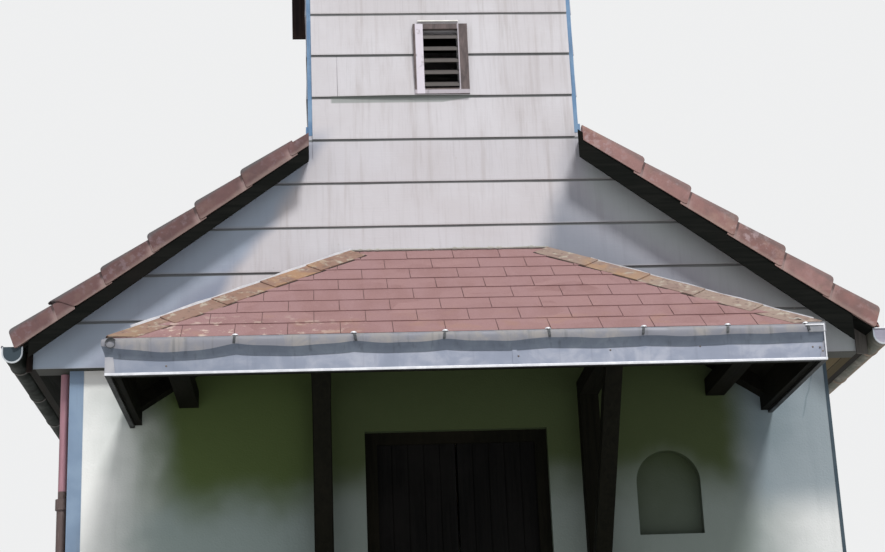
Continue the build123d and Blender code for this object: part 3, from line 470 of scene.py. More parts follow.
def mottled(name, dark, pale, roughness, metallic):
    """Metal or paint of two near tones."""
    p = Paint(name, roughness=roughness, metallic=metallic)
    p.tone = p.mix(p.patches(19.0, 5.0, 0.35, 0.7), dark, pale)
    return p.finish(p.noise(80.0, 3.0), 0.001, 0.4)


def pipe_paint():
    """Red-brown paint gone pale, with a few chips."""
    p = Paint("pipe_paint", roughness=0.55)
    p.tone = p.mix(p.span(p.grain((20, 20, 2), 4.0), 0.3, 0.7), (0.3, 0.145, 0.175), (0.42, 0.215, 0.26))
    low = p.span(p.z, 1.955, 1.945)
    p.tint(low, (0.1, 0.068, 0.063))
    p.tint(p.span(p.grain((60, 60, 9), 4.0), 0.55, 0.75) * 0.35, (0.3, 0.24, 0.23))
    return p.finish(p.noise(40.0, 3.0), 0.0012, 0.5)


def window_glass():
    p = Paint("window_glass", roughness=0.06)
    p.shader["Transmission Weight"].default_value = 0.85
    p.shader["IOR"].default_value = 1.45
    p.colour(p.mix(p.patches(5.0, 3.0, 0.4, 0.7), (0.70, 0.77, 0.77), (0.60, 0.68, 0.68)))
    return p.material


def ceiling_boards():
    """Plain boards 0.12 wide that run along the nave."""
    p = Paint("ceiling_boards", roughness=0.7)
    board = p.cell(p.x, 0.0, 0.12)
    grain = p.grain((30, 1.5, 30), 5.0, 0.6, 0.5)
    p.tone = p.mix(p.span(grain, 0.3, 0.7), (0.34, 0.23, 0.14), (0.46, 0.33, 0.21))
    p.tint(p.chance(board) * 0.4, (0.28, 0.18, 0.11))
    gap = p.x / 0.12 - board < 0.05
    p.tint(gap * 0.8, (0.06, 0.04, 0.03))
    return p.finish(grain, 0.002, 0.4)


BOARDS = painted_boards()
RENDER = lime_render()
CONCRETE = cast_concrete()
# The porch timber, the door and the verge boards are dark stain taken on to near black, painted shade standing in for
# the shade under the canopy and under the verge tiles
DARK_UPRIGHT = stained_timber("dark_timber_upright", (0.004, 0.004, 0.0026), (0.0085, 0.0082, 0.0055),
                              (0.016, 0.013, 0.009))
DARK_LEVEL = stained_timber("dark_timber_level", (0.0035, 0.0035, 0.0025), (0.009, 0.0085, 0.006),
                            (0.015, 0.012, 0.009), "Y")
BROWN = stained_timber("brown_timber", (0.010, 0.010, 0.009), (0.024, 0.020, 0.017), (0.02, 0.024, 0.018), "Y")
VERGE_BOARD = stained_timber("verge_boards", (0.004, 0.0048, 0.0042), (0.010, 0.0105, 0.0095),
                             (0.012, 0.010, 0.009), "X", 0.85)
BROWN_UPRIGHT = stained_timber("brown_timber_upright", (0.013, 0.010, 0.010), (0.028, 0.020, 0.018),
                               (0.05, 0.028, 0.02))
DOOR = stained_timber("door_planks", (0.0035, 0.0035, 0.0035), (0.0075, 0.0072, 0.007),
                      (0.012, 0.011, 0.0105), "Z", 0.7)
SOFFIT_WOOD = stained_timber("soffit_boards", (0.008, 0.0095, 0.007), (0.024, 0.02, 0.014),
                             (0.055, 0.032, 0.018), "Y", 0.85, 0.095)
LOUVRE = louvre_wood()
TILES = clay_tiles("clay_tiles")
VERGE = clay_tiles("verge_clay", 0.8)
SHINGLES = roof_shingles()
UNDERLAY = mottled("shingle_underlay", (0.10, 0.055, 0.052), (0.15, 0.085, 0.08), 0.95, 0.0)
HIP = hip_metal()
ZINC = weathered_zinc("zinc_fascia", (0.275, 0.305, 0.39), (0.38, 0.40, 0.475), (0.19, 0.21, 0.27), 0.4)
STRIP_ZINC = weathered_zinc("zinc_corner", (0.11, 0.205, 0.345), (0.17, 0.275, 0.41), (0.07, 0.10, 0.15), 0.6)
GUTTER_ZINC = weathered_zinc("zinc_gutter", (0.115, 0.12, 0.10), (0.24, 0.225, 0.20),
                             (0.10, 0.065, 0.035), 0.8, 0.6, 0.1)
RIM = weathered_zinc("zinc_rims", (0.34, 0.38, 0.43), (0.52, 0.55, 0.58), (0.2, 0.2, 0.2), 0.4, 0.5, 0.2)
ROLL = weathered_zinc("edge_roll", (0.20, 0.205, 0.24), (0.285, 0.27, 0.265), (0.13, 0.135, 0.145), 0.6, 0.6, 0.1)
ROLL_SHADE = weathered_zinc("edge_roll_underside", (0.095, 0.115, 0.155), (0.135, 0.16, 0.20),
                            (0.055, 0.065, 0.085), 0.7, 0.65, 0.1)
END_CAP = weathered_zinc("zinc_end_caps", (0.30, 0.29, 0.36), (0.42, 0.40, 0.47), (0.18, 0.17, 0.2), 0.5)
# Near-black paint for the strips of painted shadow under the hip caps
HIP_SHADOW_PAINT = mottled("hip_shadow_paint", (0.028, 0.018, 0.015), (0.055, 0.036, 0.03), 0.9, 0.0)
END_BOARD = stained_timber("eaves_end_board", (0.075, 0.07, 0.066), (0.125, 0.118, 0.11),
                           (0.06, 0.066, 0.055), "Z", 0.85)
CORNER_CAP = weathered_zinc("zinc_corner_cap", (0.19, 0.20, 0.225), (0.28, 0.275, 0.28), (0.09, 0.10, 0.115), 0.7)
ZINC_SILL = weathered_zinc("zinc_sills", (0.24, 0.25, 0.27), (0.34, 0.35, 0.37), (0.16, 0.16, 0.17), 0.5)
# Near white; on the drip edge and the hip strips it stands for painted highlight
PALE_EDGE = mottled("pale_drip_edge", (0.66, 0.67, 0.72), (0.80, 0.81, 0.85), 0.45, 0.2)
BAND = mottled("bracket_bands", (0.15, 0.10, 0.065), (0.26, 0.19, 0.14), 0.6, 0.1)
IRON = mottled("black_iron", (0.03, 0.028, 0.026), (0.07, 0.062, 0.055), 0.5, 0.7)
STRAP = mottled("clip_straps", (0.05, 0.055, 0.062), (0.10, 0.105, 0.11), 0.6, 0.2)
COVER = weathered_zinc("zinc_covers", (0.29, 0.30, 0.36), (0.42, 0.42, 0.45), (0.17, 0.175, 0.20), 0.5)
LOOSE_LEAD = mottled("loose_lead", (0.34, 0.31, 0.28), (0.68, 0.65, 0.61), 0.65, 0.1)
NAIL = mottled("nail_heads", (0.13, 0.11, 0.10), (0.24, 0.2, 0.17), 0.6, 0.6)
PIPE = pipe_paint()
FRAME_PAINT = mottled("window_paint", (0.60, 0.585, 0.55), (0.70, 0.69, 0.66), 0.5, 0.0)
GLASS = window_glass()
CEILING = ceiling_boards()

NODE_MATERIALS = (
    (CONCRETE, "floor_slab door_step post_feet"),
    (RENDER, "front_wall_left front_wall_right front_wall_over_door side_wall_left side_wall_right back_wall"),
    (FRAME_PAINT, "window_frames"), (GLASS, "window_panes"), (CEILING, "ceiling"),
    (BOARDS, "front_gable_left front_gable_right back_gable tower_wall_front tower_wall_back tower_wall_left "
             "tower_wall_right"),
    (SOFFIT_WOOD, "eaves_boxes"), (BROWN, "eaves_fascias tower_cornice"),
    (VERGE_BOARD, "roof_deck_left roof_deck_right"), (VERGE, "verge_tiles"),
    (TILES, "roof_tiles_left roof_tiles_right ridge_tiles"),
    (GUTTER_ZINC, "gutters"), (STRIP_ZINC, "tower_corner_strips wall_corner_strips"), (PIPE, "downpipes standpipes"),
    (LOUVRE, "tower_louvre"), (BROWN_UPRIGHT, "belfry_louvres tower_side_board"), (UNDERLAY, "tower_roof"),
    (DARK_LEVEL, "canopy_deck_front canopy_deck_left canopy_deck_right canopy_beams canopy_rafters "
                 "canopy_wall_rafters canopy_arms"),
    (DARK_UPRIGHT, "porch_posts porch_braces door_frame"),
    (HIP, "canopy_hip_caps"), (ZINC, "canopy_fascia"), (ROLL, "canopy_flashing"),
    (IRON, "finial_cross hinge_pins door_straps_left door_straps_right door_handle"),
    (DOOR, "door_leaf_left door_leaf_right"),
)
for material, names in NODE_MATERIALS:
    for name in names.split():
        for place in nodes[name].material_slots:
            place.material = material


class Shape:
    """Faces gathered in metres, in the chapel's frame, before they become one piece."""

    def __init__(self):
        self.points = []
        self.faces = []

    def add(self, points, faces):
        start = len(self.points)
        self.points += [tuple(p) for p in points]
        self.faces += [tuple(start + i for i in face) for face in faces]
        return self

    def prism(self, low, high):
        """A closed solid between two outlines with the same number of corners."""
        count = len(low)
        sides = [(i, (i + 1) % count, count + (i + 1) % count, count + i) for i in range(count)]
        ends = [tuple(reversed(range(count))), tuple(range(count, 2 * count))]
        return self.add(list(low) + list(high), ends + sides)

    def bar(self, outline, y_low, y_high, side=1):
        """A solid along y with one outline in x and z, mirrored when side is -1."""
        return self.prism(*([(side * x, y, z) for x, z in outline] for y in (y_low, y_high)))

    def grid(self, rows, closed=False):
        """A sheet through rows of points; closed joins each row's last point to its first."""
        width = len(rows[0])
        faces = []
        for r in range(len(rows) - 1):
            for c in range(width if closed else width - 1):
                d = (c + 1) % width
                faces.append((r * width + c, r * width + d, (r + 1) * width + d, (r + 1) * width + c))
        return self.add([p for row in rows for p in row], faces)

    def box(self, corner, opposite):
        (a, d), (b, e), (c, f) = (sorted(pair) for pair in zip(corner, opposite))
        return self.prism(*([(a, b, z), (d, b, z), (d, e, z), (a, e, z)] for z in (c, f)))

    def piece(self, name, material, slot, bevel=0.0, smooth=None, replaces=()):
        mesh = bpy.data.meshes.new(name)
        mesh.from_pydata(self.points, [], self.faces)
        work = bmesh.new()
        work.from_mesh(mesh)
        bmesh.ops.remove_doubles(work, verts=work.verts, dist=0.00002)
        bmesh.ops.recalc_face_normals(work, faces=work.faces)
        work.to_mesh(mesh)
        work.free()
        thing = add_object(name, mesh)
        mesh.materials.append(material)
        if bevel:
            rounding = thing.modifiers.new("edges", "BEVEL")
            rounding.width = bevel
            rounding.segments = 2
            rounding.limit_method = "ANGLE"
            rounding.angle_limit = math.radians(40)
        if smooth is not None:
            mesh.shade_smooth()
            mesh.set_sharp_from_angle(angle=math.radians(smooth))
        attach(thing, "chapel")
        if replaces:
            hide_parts(*replaces)
        return thing


def turns(count):
    """Angles evenly round a circle."""
    return [math.tau * k / count for k in range(count)]


def clip(outline, a, b, c):
    """The part of a convex outline where a * u + b * v is at most c."""
    kept = []
    for i, (u, v) in enumerate(outline):
        w, x = outline[(i + 1) % len(outline)]
        here, there = a * u + b * v - c, a * w + b * x - c
        if here <= 0:
            kept.append((u, v))
        if here * there < 0:
            t = here / (here - there)
            kept.append((u + (w - u) * t, v + (x - v) * t))
    return kept


def area(outline):
    return abs(sum(u * x - w * v for (u, v), (w, x) in zip(outline, outline[1:] + outline[:1]))) / 2


def around(outline, hole):
    """A convex outline cut into convex parts that leave out a rectangle."""
    low_u, high_u, low_v, high_v = hole
    parts = [clip(outline, 1, 0, low_u), clip(outline, -1, 0, -high_u)]
    middle = clip(clip(outline, -1, 0, -low_u), 1, 0, high_u)
    parts += [clip(middle, 0, 1, low_v), clip(middle, 0, -1, -high_v)]
    return [part for part in parts if len(part) > 2 and area(part) > 0.0002]


def lap_boards(shape, origin, across, outward, outlines, holes=(), joints=None, seed=1, warp=None):
    """Wide lapped boards on a wall: each board's foot stands out over the head of the one below.

    Joints give the cuts in single courses; a warp gives the course, the place, the reach and the depth of a
    foot that has sprung outwards."""
    chooser = random.Random(seed)
    origin, across, outward = Vector(origin), Vector(across), Vector(outward)
    joints = joints or {}
    gap, head = 0.003, 0.0035
    for n in range(12):
        low, high = WALL_TOP + n * COURSE, WALL_TOP + (n + 1) * COURSE
        parts = []
        for outline in outlines:
            part = clip(clip(outline, 0, -1, -low), 0, 1, high)
            if len(part) > 2 and area(part) > 0.0005:
                parts.append(part)
        for hole in holes:
            parts = [piece for part in parts for piece in around(part, hole)]
        for joint in joints.get(n, ()):
            split = []
            for part in parts:
                split += [clip(part, 1, 0, joint - gap / 2), clip(part, -1, 0, -joint - gap / 2)]
            parts = [part for part in split if len(part) > 2 and area(part) > 0.0002]
        foot = 0.0135 + chooser.uniform(-0.0012, 0.0012)
        for part in parts:
            us = [u for u, v in part]
            cuts = max(1, round((max(us) - min(us)) / 0.35))
            for k in range(cuts):
                start = min(us) + (max(us) - min(us)) * k / cuts
                end = min(us) + (max(us) - min(us)) * (k + 1) / cuts
                strip = clip(clip(part, -1, 0, -start), 1, 0, end)
                if len(strip) < 3 or area(strip) < 0.00005:
                    continue
                front = []
                for u, v in strip:
                    t = (v - low) / COURSE
                    depth = foot + (head - foot) * t + 0.0011 * math.sin(5.1 * u + 2.3 * n + seed) * (1 - t)
                    if warp and n == warp[0]:
                        depth += warp[3] * (1 - t) * max(0.0, 1 - abs(u - warp[1]) / warp[2]) ** 0.7
                    front.append(origin + across * u + UP * v + outward * depth)
                back = [origin + across * u + UP * v + outward * 0.0004 for u, v in strip]
                shape.prism(back, front)


def below_roof(left, right):
    """The gable's outline under the roof boarding, between two edges."""
    top = deck_bottom(0)
    square = [(left, WALL_TOP), (right, WALL_TOP), (right, top), (left, top)]
    return clip(clip(square, SLOPE, 1, top), -SLOPE, 1, top)


front_gable = below_roof(-BOARD_EDGE - 0.017, BOARD_EDGE)
lower_gable = clip(front_gable, 0, 1, deck_bottom(TOWER_HALF))
shaft_half = TOWER_HALF - STRIP + 0.003         # the boards reach 3 mm under the corner strips
boards_top = TOWER_TOP - 0.09
shaft = [(-shaft_half, deck_bottom(TOWER_HALF)), (shaft_half, deck_bottom(TOWER_HALF)),
         (shaft_half, boards_top), (-shaft_half, boards_top)]
louvre_hole = (-0.17, 0.17, 4.86, 5.385)
belfry_hole = (-0.36, 0.36, 6.02, 6.66)
front_boards = Shape()
lap_boards(front_boards, (0, GABLE, 0), (1, 0, 0), (0, -1, 0), [lower_gable, shaft], [louvre_hole, belfry_hole],
           {6: (-0.782,)}, warp=(6, -0.3, 0.55, 0.014))
front_boards.piece("front_boards", BOARDS, "weathered_boards")

back_boards = Shape()
lap_boards(back_boards, (0, GABLE_BACK, 0), (-1, 0, 0), (0, 1, 0), [below_roof(-BOARD_EDGE, BOARD_EDGE)], (),
           {0: (-1.1,), 1: (0.8,), 2: (-0.6,), 3: (0.9,)}, seed=4)
back_boards.piece("back_boards", BOARDS, "weathered_boards")

tower_boards = Shape()
side_outline = [(-shaft_half, cover(TOWER_HALF) + 0.06), (shaft_half, cover(TOWER_HALF) + 0.06),
                (shaft_half, boards_top), (-shaft_half, boards_top)]
for side in SIDES:
    lap_boards(tower_boards, (side * TOWER_HALF, TOWER_CENTRE, 0), (0, side, 0), (side, 0, 0), [side_outline],
               [belfry_hole], {6: (0.5,), 9: (-0.7,)}, seed=10 + side)
back_outline = []
for side in SIDES:
    square = [(0, 4), (shaft_half, 4), (shaft_half, boards_top), (0, boards_top)]
    square = clip(square, -SLOPE, -1, -(RIDGE + 0.06))
    back_outline.append([(side * u, v) for u, v in square])
lap_boards(tower_boards, (0, TOWER_BACK, 0), (-1, 0, 0), (0, 1, 0), back_outline, [belfry_hole], seed=21)
tower_boards.piece("tower_boards", BOARDS, "weathered_boards")


def roll_height(t):
    """Height of a double-rolled tile's face above its pan at a share of its width."""
    height = 0.0
    for centre in (0.27, 0.77):
        if abs(t - centre) < 0.17:
            height = max(height, 0.021 * max(0.0, math.cos(math.pi * (t - centre) / 0.34)) ** 0.8)
    return height


# Roof tiles in stepped courses
tile_columns = (0.0, 0.012, 0.1, 0.15, 0.2, 0.27, 0.34, 0.39, 0.44, 0.52, 0.6, 0.65, 0.7, 0.77, 0.84, 0.89, 0.94, 0.988)
for side, word in SIDES.items():
    chooser = random.Random(30 + side)
    shape = Shape()
    nose = HALF_SPAN
    while nose > 0.02:
        upper = max(nose - COURSE_RUN, 0.0)
        y = ROOF_FRONT + 0.066
        while y < ROOF_BACK - 0.07:
            wide = min(TILE_WIDTH, ROOF_BACK - 0.066 - y)
            behind_tower = y + wide / 2 < TOWER_BACK
            if not (behind_tower and nose <= TOWER_HALF + 0.02):
                top_end = upper
                if behind_tower and upper < TOWER_HALF:
                    top_end = TOWER_HALF
                lift = chooser.uniform(-0.0015, 0.0025)
                skew = chooser.uniform(-0.002, 0.002)
                fall = (TILE - TILE_LAP) / SLOPE_COS * (nose - top_end) / COURSE_RUN
                rows = []
                for x, drop, sunk in ((nose, 0.0, 0.030), (nose, 0.0, 0.003), (nose - 0.004, 0.0, 0.0),
                                      (top_end, fall, 0.0)):
                    row = []
                    for t in tile_columns:
                        if t * TILE_WIDTH > wide:
                            break
                        height = roll_height(t) - (0.006 if t < 0.01 else 0.0) - 0.011
                        z = cover(x) - drop + (height + lift - sunk) / SLOPE_COS + skew * t
                        row.append((side * x, y + t * TILE_WIDTH, z))
                    rows.append(row)
                if len(rows[0]) > 1:
                    shape.grid(rows)
            y += TILE_WIDTH
        nose -= COURSE_RUN
    shape.piece("tiles_" + word, TILES, "clay_tiles", smooth=38, replaces=("roof_tiles_" + word,))

# A board under the tiles closes the stepped gaps between them and the deck
for side, word in SIDES.items():
    shape = Shape()
    for y_low, y_high, inner in ((ROOF_FRONT + 0.02, TOWER_BACK, TOWER_HALF), (TOWER_BACK, ROOF_BACK - 0.02, 0.0)):
        ends = (inner, HALF_SPAN - 0.012)
        shape.bar([(x, cover(x) - TILE / SLOPE_COS) for x in ends]
                  + [(x, cover(x) - 0.046 / SLOPE_COS) for x in reversed(ends)], y_low, y_high, side)
    shape.piece("tile_bed_" + word, TILES, "clay_tiles")

# Verge tiles: an upright flange and a rounded edge that turns on to the roof, one to a course
verge_section = ((0.0, -0.092), (0.0, -0.03), (0.003, -0.014), (0.010, -0.004), (0.022, 0.0), (0.07, 0.001),
                 (0.088, -0.003), (0.092, -0.012), (0.092, -0.035), (0.026, -0.035), (0.024, -0.092))
# Each row is the way behind the nose, and how much lower the back and the foot lie there
verge_nose = ((0.0, 0.018, 0.012), (0.003, 0.009, 0.007), (0.009, 0.003, 0.003), (0.02, 0.0, 0.0))
verge = Shape()
verge_boards = Shape()
chooser = random.Random(5)


def verge_tiles(side, outer, inward, stop, phase, nose_lift, head_lift, foot_rise, raked):
    """One rake's tiles from the eave upwards; the raked tile's nose stands up from the one below."""
    at_tower = stop > 0.5
    nose = HALF_SPAN + (-0.022 if side > 0 and at_tower else 0.014)
    number = 0
    while nose > stop + 0.02:
        upper = nose - COURSE_RUN + (phase if number == 0 else 0.0)
        if upper < stop + (0.14 if side > 0 and at_tower else 0.0):
            upper = stop
        tucked = upper if upper == stop else upper - (0.13 if number == raked - 1 else 0.055)
        taper = (TILE - TILE_LAP) * (nose - tucked) / COURSE_RUN
        low_set = 0.045 if upper == stop and side < 0 and at_tower else 0.0
        wobble = chooser.uniform(-0.004, 0.004)
        slip = chooser.uniform(-0.003, 0.002)
        deep = chooser.uniform(-0.003, 0.003) + foot_rise * max(0.0, (2.6 - nose) / 1.43)
        rake = 0.15 if number == raked else 0.0
        stations = [(nose + slip - run, 0.0, low, low_foot, 0.0, nose_lift - low_set)
                    for run, low, low_foot in verge_nose]
        stations.append((tucked, taper, 0.0, 0.0, 0.005, head_lift - low_set))
        rings = []
        for n, (x, drop, low, low_foot, sunk, lift) in enumerate(stations):
            top = cover(x) - drop / SLOPE_COS
            ring = []
            for depth, height in verge_section:
                up = height - low + lift + wobble if height > -0.033 else height + drop * 0.75 + low_foot + deep
                out = depth + (sunk if depth < 0.03 else 0.0)
                level = upper == stop and n == len(stations) - 1
                back = 0.0 if level else up * 0.36
                if rake and n < len(stations) - 1:
                    share = min(max((lift - up) / (lift + 0.092), 0.0), 1.0)
                    back -= rake * share ** 0.6 - 0.03
                ring.append((side * (x + back), outer + inward * out, top - back * SLOPE + up / SLOPE_COS))
            rings.append(ring)
        verge.grid(rings, closed=True)
        for ring in (rings[0], rings[-1]):
            verge.add(ring, [tuple(range(len(verge_section)))])
        nose = upper
        number += 1


verge_tiles(-1, ROOF_FRONT - 0.025, 1, TOWER_HALF, 0.04, 0.050, 0.056, 0.0, 1)
verge_tiles(1, ROOF_FRONT - 0.025, 1, TOWER_HALF, 0.016, 0.066, 0.066, 0.024, -1)
for side in SIDES:
    verge_tiles(side, ROOF_BACK + 0.025, -1, 0.003, 0.0, 0.05, 0.05, 0.0, -1)

# A thin board under each row of verge tiles covers the deck's edge; the right one hangs lower at its foot
for side, y_face, inward, stop, high_foot, low_foot in (
        (-1, ROOF_FRONT - 0.002, -1, TOWER_HALF + 0.002, 0.235, 0.24),
        (1, ROOF_FRONT - 0.002, -1, TOWER_HALF - 0.035, 0.254, 0.314),
        (-1, ROOF_BACK + 0.002, 1, 0.001, 0.235, 0.24), (1, ROOF_BACK + 0.002, 1, 0.001, 0.235, 0.24)):
    foot_x = 2.85 if low_foot > 0.3 else HALF_SPAN - 0.11
    outline = [(stop, cover(stop) - 0.04), (foot_x, cover(foot_x) - 0.04), (foot_x, cover(foot_x) - low_foot),
               (stop, cover(stop) - high_foot)]
    verge_boards.bar(outline, y_face, y_face + inward * 0.012, side)
verge.piece("verge_edge_tiles", VERGE, "clay_tiles", smooth=40, replaces=("verge_tiles",))
for side, inner, inner_top, material in ((1, 2.908, 2.985, END_BOARD), (-1, 2.951, 2.955, BROWN_UPRIGHT)):
    outline = [(inner, 2.762), (2.988, 2.756), (2.988, 2.93), (inner, inner_top)]
    Shape().bar(outline, GABLE - 0.022, GABLE - 0.044, side).piece(
        "eaves_end_board_" + SIDES[side], material, "brown_timber", bevel=0.0015)
verge_boards.piece("verge_boards", VERGE_BOARD, "brown_timber", bevel=0.0015)

# Ridge: overlapping half-round caps
ridge = Shape()
chooser = random.Random(6)
ridge_steps = 14
ridge_pitch = (ROOF_BACK - TOWER_BACK) / ridge_steps
for n in range(ridge_steps):
    y_low = TOWER_BACK + 0.004 + n * ridge_pitch
    y_high = y_low + ridge_pitch
    rows = []
    turn = chooser.uniform(-0.004, 0.004)
    for y, grow in ((y_low, 0.0), (y_high - 0.045, 0.006), (y_high - 0.04, 0.014), (y_high - 0.003, 0.015),
                    (y_high, 0.012), (y_high, -0.012)):
        row = []
        for k in range(13):
            a = math.pi * (0.06 + 0.88 * k / 12)
            z = RIDGE - 0.085 + math.sin(a) * (0.128 + grow) + turn * math.cos(a)
            row.append((math.cos(a) * (0.122 + grow), y, z))
        rows.append(row)
    ridge.grid(rows)
ridge.piece("ridge_caps", TILES, "clay_tiles", smooth=50, replaces=("ridge_tiles",))


def tabs(shape, foot, along, up_slope, normal, outline, exposure, offset, seed):
    """Courses of shingle tabs in half bond on a sloping plane, cut to a convex outline in plane coordinates."""
    chooser = random.Random(seed)
    us, vs = zip(*outline)
    n, low = 0, min(vs)
    while low < max(vs) - 0.01:
        high = low + exposure * 1.12
        u = min(us) - TAB_WIDTH + ((n % 2) * 0.5 + offset) * TAB_WIDTH
        while u < max(us):
            slip = chooser.uniform(-0.004, 0.004)
            left, right = u + TAB_SLOT / 2, u + TAB_WIDTH - TAB_SLOT / 2
            part = [(left, low + slip), (right, low + slip + chooser.uniform(-0.003, 0.003)), (right, high),
                    (left, high)]
            for (a, b), (c, d) in zip(outline, outline[1:] + outline[:1]):
                part = clip(part, d - b, a - c, (d - b) * a + (a - c) * b)
                if len(part) < 3:
                    break
            if len(part) > 2 and area(part) > 0.0006:
                rise = 0.0065 + chooser.uniform(-0.001, 0.0015)
                bottom, top = [], []
                for a, b in part:
                    t = min(max((b - low) / (high - low), 0.0), 1.0)
                    base = foot + along * a + up_slope * b
                    bottom.append(base + normal * (TAB_LIFT * 0.2))
                    top.append(base + normal * (TAB_LIFT + rise * (1 - t) + 0.0012))
                shape.prism(bottom, top)
            u += TAB_WIDTH
        low += exposure
        n += 1


# Shingles on the canopy: the front slope between the hips, and the slope at each end
canopy_shingles = Shape()
underlay = Shape()


def canopy_slope(foot, along, up_slope, normal, outline, length, offset, seed):
    """Eight courses of tabs and the sheet under them."""
    foot, along, up_slope, normal = (Vector(v) for v in (foot, along, up_slope, normal))
    up_slope.normalize()
    normal.normalize()
    tabs(canopy_shingles, foot, along, up_slope, normal, outline, length / 8, offset, seed)
    sheet = [foot + along * a + up_slope * b for a, b in outline]
    underlay.prism(*([point + normal * lift for point in sheet] for lift in (0.0003, 0.0012)))


front_length = math.hypot(CANOPY_DEPTH, CANOPY_RISE)
canopy_slope((0, CANOPY_FRONT, CANOPY_EAVE), (1, 0, 0), (0, CANOPY_DEPTH, CANOPY_RISE), (0, -FRONT_SLOPE, 1),
             [(-CANOPY_HALF + 0.02, 0.0), (CANOPY_HALF - 0.02, 0.0), (CANOPY_TOP_HALF, front_length - 0.004),
              (-CANOPY_TOP_HALF, front_length - 0.004)], front_length, 0.325, 3)
side_run = CANOPY_HALF - CANOPY_TOP_HALF
side_length = math.hypot(side_run, CANOPY_RISE)
for side in SIDES:
    canopy_slope((side * CANOPY_HALF, 0, CANOPY_EAVE), (0, 1, 0), (-side * side_run, 0, CANOPY_RISE),
                 (side * SIDE_SLOPE, 0, 1),
                 [(CANOPY_FRONT + 0.02, 0.0), (GABLE - 0.016, 0.0), (GABLE - 0.016, side_length - 0.02)],
                 side_length, 0.1, 7 + side)
canopy_shingles.piece("canopy_shingles", SHINGLES, "shingles")
underlay.piece("canopy_underlay", UNDERLAY, "shingles")

# Shingles on the tower's pyramid roof
tower_shingles = Shape()
ROOF_HALF = 1.19
TIP_HALF = 0.045
ROOF_RISE = 1.65
roof_foot = TOWER_TOP + 0.055
run = ROOF_HALF - TIP_HALF
length = math.hypot(run, ROOF_RISE)
for quarter in range(4):
    turn = Matrix.Rotation(math.radians(90 * quarter), 3, "Z")
    outward = turn @ Vector((0, -1, 0))
    along = turn @ Vector((1, 0, 0))
    foot = Vector((0, TOWER_CENTRE, roof_foot)) + outward * ROOF_HALF
    up_slope = (UP * ROOF_RISE - outward * run).normalized()
    normal = (outward * ROOF_RISE + UP * run).normalized()
    outline = [(-ROOF_HALF, 0.0), (ROOF_HALF, 0.0), (TIP_HALF, length), (-TIP_HALF, length)]
    tabs(tower_shingles, foot, along, up_slope, normal, outline, 0.182, 0.2, 40 + quarter)
tower_shingles.piece("tower_shingles", SHINGLES, "shingles")


def hip_pieces(shape, low_end, high_end, left_normal, right_normal, half_width, step, thick, seed=1,
               left_more=0.0, shadow_strips=None):
    """Bent caps along a hip or ridge line, each lapped over the one below; one side may be wider, over a dark strip of
    painted shadow.
    """
    chooser = random.Random(seed)
    low_end, high_end = Vector(low_end), Vector(high_end)
    direction = (high_end - low_end).normalized()
    ln, rn = Vector(left_normal).normalized(), Vector(right_normal).normalized()
    left = direction.cross(ln)
    if left.dot(rn) > 0:
        left = -left
    right = direction.cross(rn)
    if right.dot(ln) > 0:
        right = -right
    middle = (ln + rn).normalized()
    total = (high_end - low_end).length
    count = max(1, round(total / step))
    for n in range(count):
        ends, edge = [], []
        for at, lift in ((n * total / count - 0.012, thick), ((n + 1) * total / count + 0.02, 0.0015)):
            centre = low_end + direction * min(max(at, 0.0), total)
            wide = half_width + chooser.uniform(-0.003, 0.003)
            a, b = centre + left * (wide + left_more), centre + right * wide
            if left_more and n == 0 and at < 0:
                a += direction * (max(0.0, CANOPY_FRONT + 0.01 - a.y) / direction.y)
                b += direction * (max(0.0, abs(b.x) - CANOPY_HALF + 0.01) / abs(direction.x))
            outer = [a + ln * (lift + 0.006), centre + left * 0.012 + ln * (lift + 0.012),
                     centre + middle * (lift + 0.017), centre + right * 0.012 + rn * (lift + 0.012),
                     b + rn * (lift + 0.006)]
            inner = [b + rn * 0.001, centre + middle * 0.002, a + ln * 0.001]
            ends.append(outer + inner)
            # A dark strip under the wider side's edge: painted shadow
            if shadow_strips:
                edge.append([a + left * out + ln * up for out, up in
                             ((-0.03, 0.008), (0.011, 0.008), (0.011, 0.0005), (-0.03, 0.0005))])
        shape.prism(*ends)
        if shadow_strips:
            shadow_strips.prism(*edge)


hips = Shape()
# Dark strips of painted shadow under the caps' wider edges
shadow_strips = Shape()
for side in SIDES:
    hip_pieces(hips, (side * (CANOPY_HALF - 0.012), CANOPY_FRONT + 0.012, CANOPY_EAVE + 0.003),
               (side * CANOPY_TOP_HALF, GABLE - 0.018, CANOPY_TOP - 0.012),
               (0, -FRONT_SLOPE, 1), (side * SIDE_SLOPE, 0, 1), 0.088, 0.5, 0.009, seed=50 + side,
               left_more=0.046, shadow_strips=shadow_strips)
hips.piece("hip_cap_sheets", HIP, "shingles", smooth=30, replaces=("canopy_hip_caps",))
shadow_strips.piece("hip_painted_shadow_strips", HIP_SHADOW_PAINT, "shingles")
tower_hips = Shape()
for x_side in (-1, 1):
    for y_side in (-1, 1):
        hip_pieces(tower_hips, (x_side * ROOF_HALF, TOWER_CENTRE + y_side * ROOF_HALF, roof_foot),
                   (x_side * TIP_HALF, TOWER_CENTRE + y_side * TIP_HALF, roof_foot + ROOF_RISE),
                   (0, y_side * ROOF_RISE / run, 1), (x_side * ROOF_RISE / run, 0, 1), 0.075, 0.33, 0.008,
                   seed=60 + x_side + 3 * y_side)
tower_hips.piece("tower_hip_caps", SHINGLES, "shingles", smooth=30)

# The canopy's edge: a loose roll of sheet metal round three sides, which sags between its clips
CLIPS = (-1.474, -0.733, -0.155, 0.497, 1.111, 1.652, 2.158)
STOPS = (-CANOPY_HALF,) + CLIPS + (CANOPY_HALF,)
SAGS = (0.043, 0.020, 0.013, 0.016, 0.011, 0.015, 0.010, 0.0)
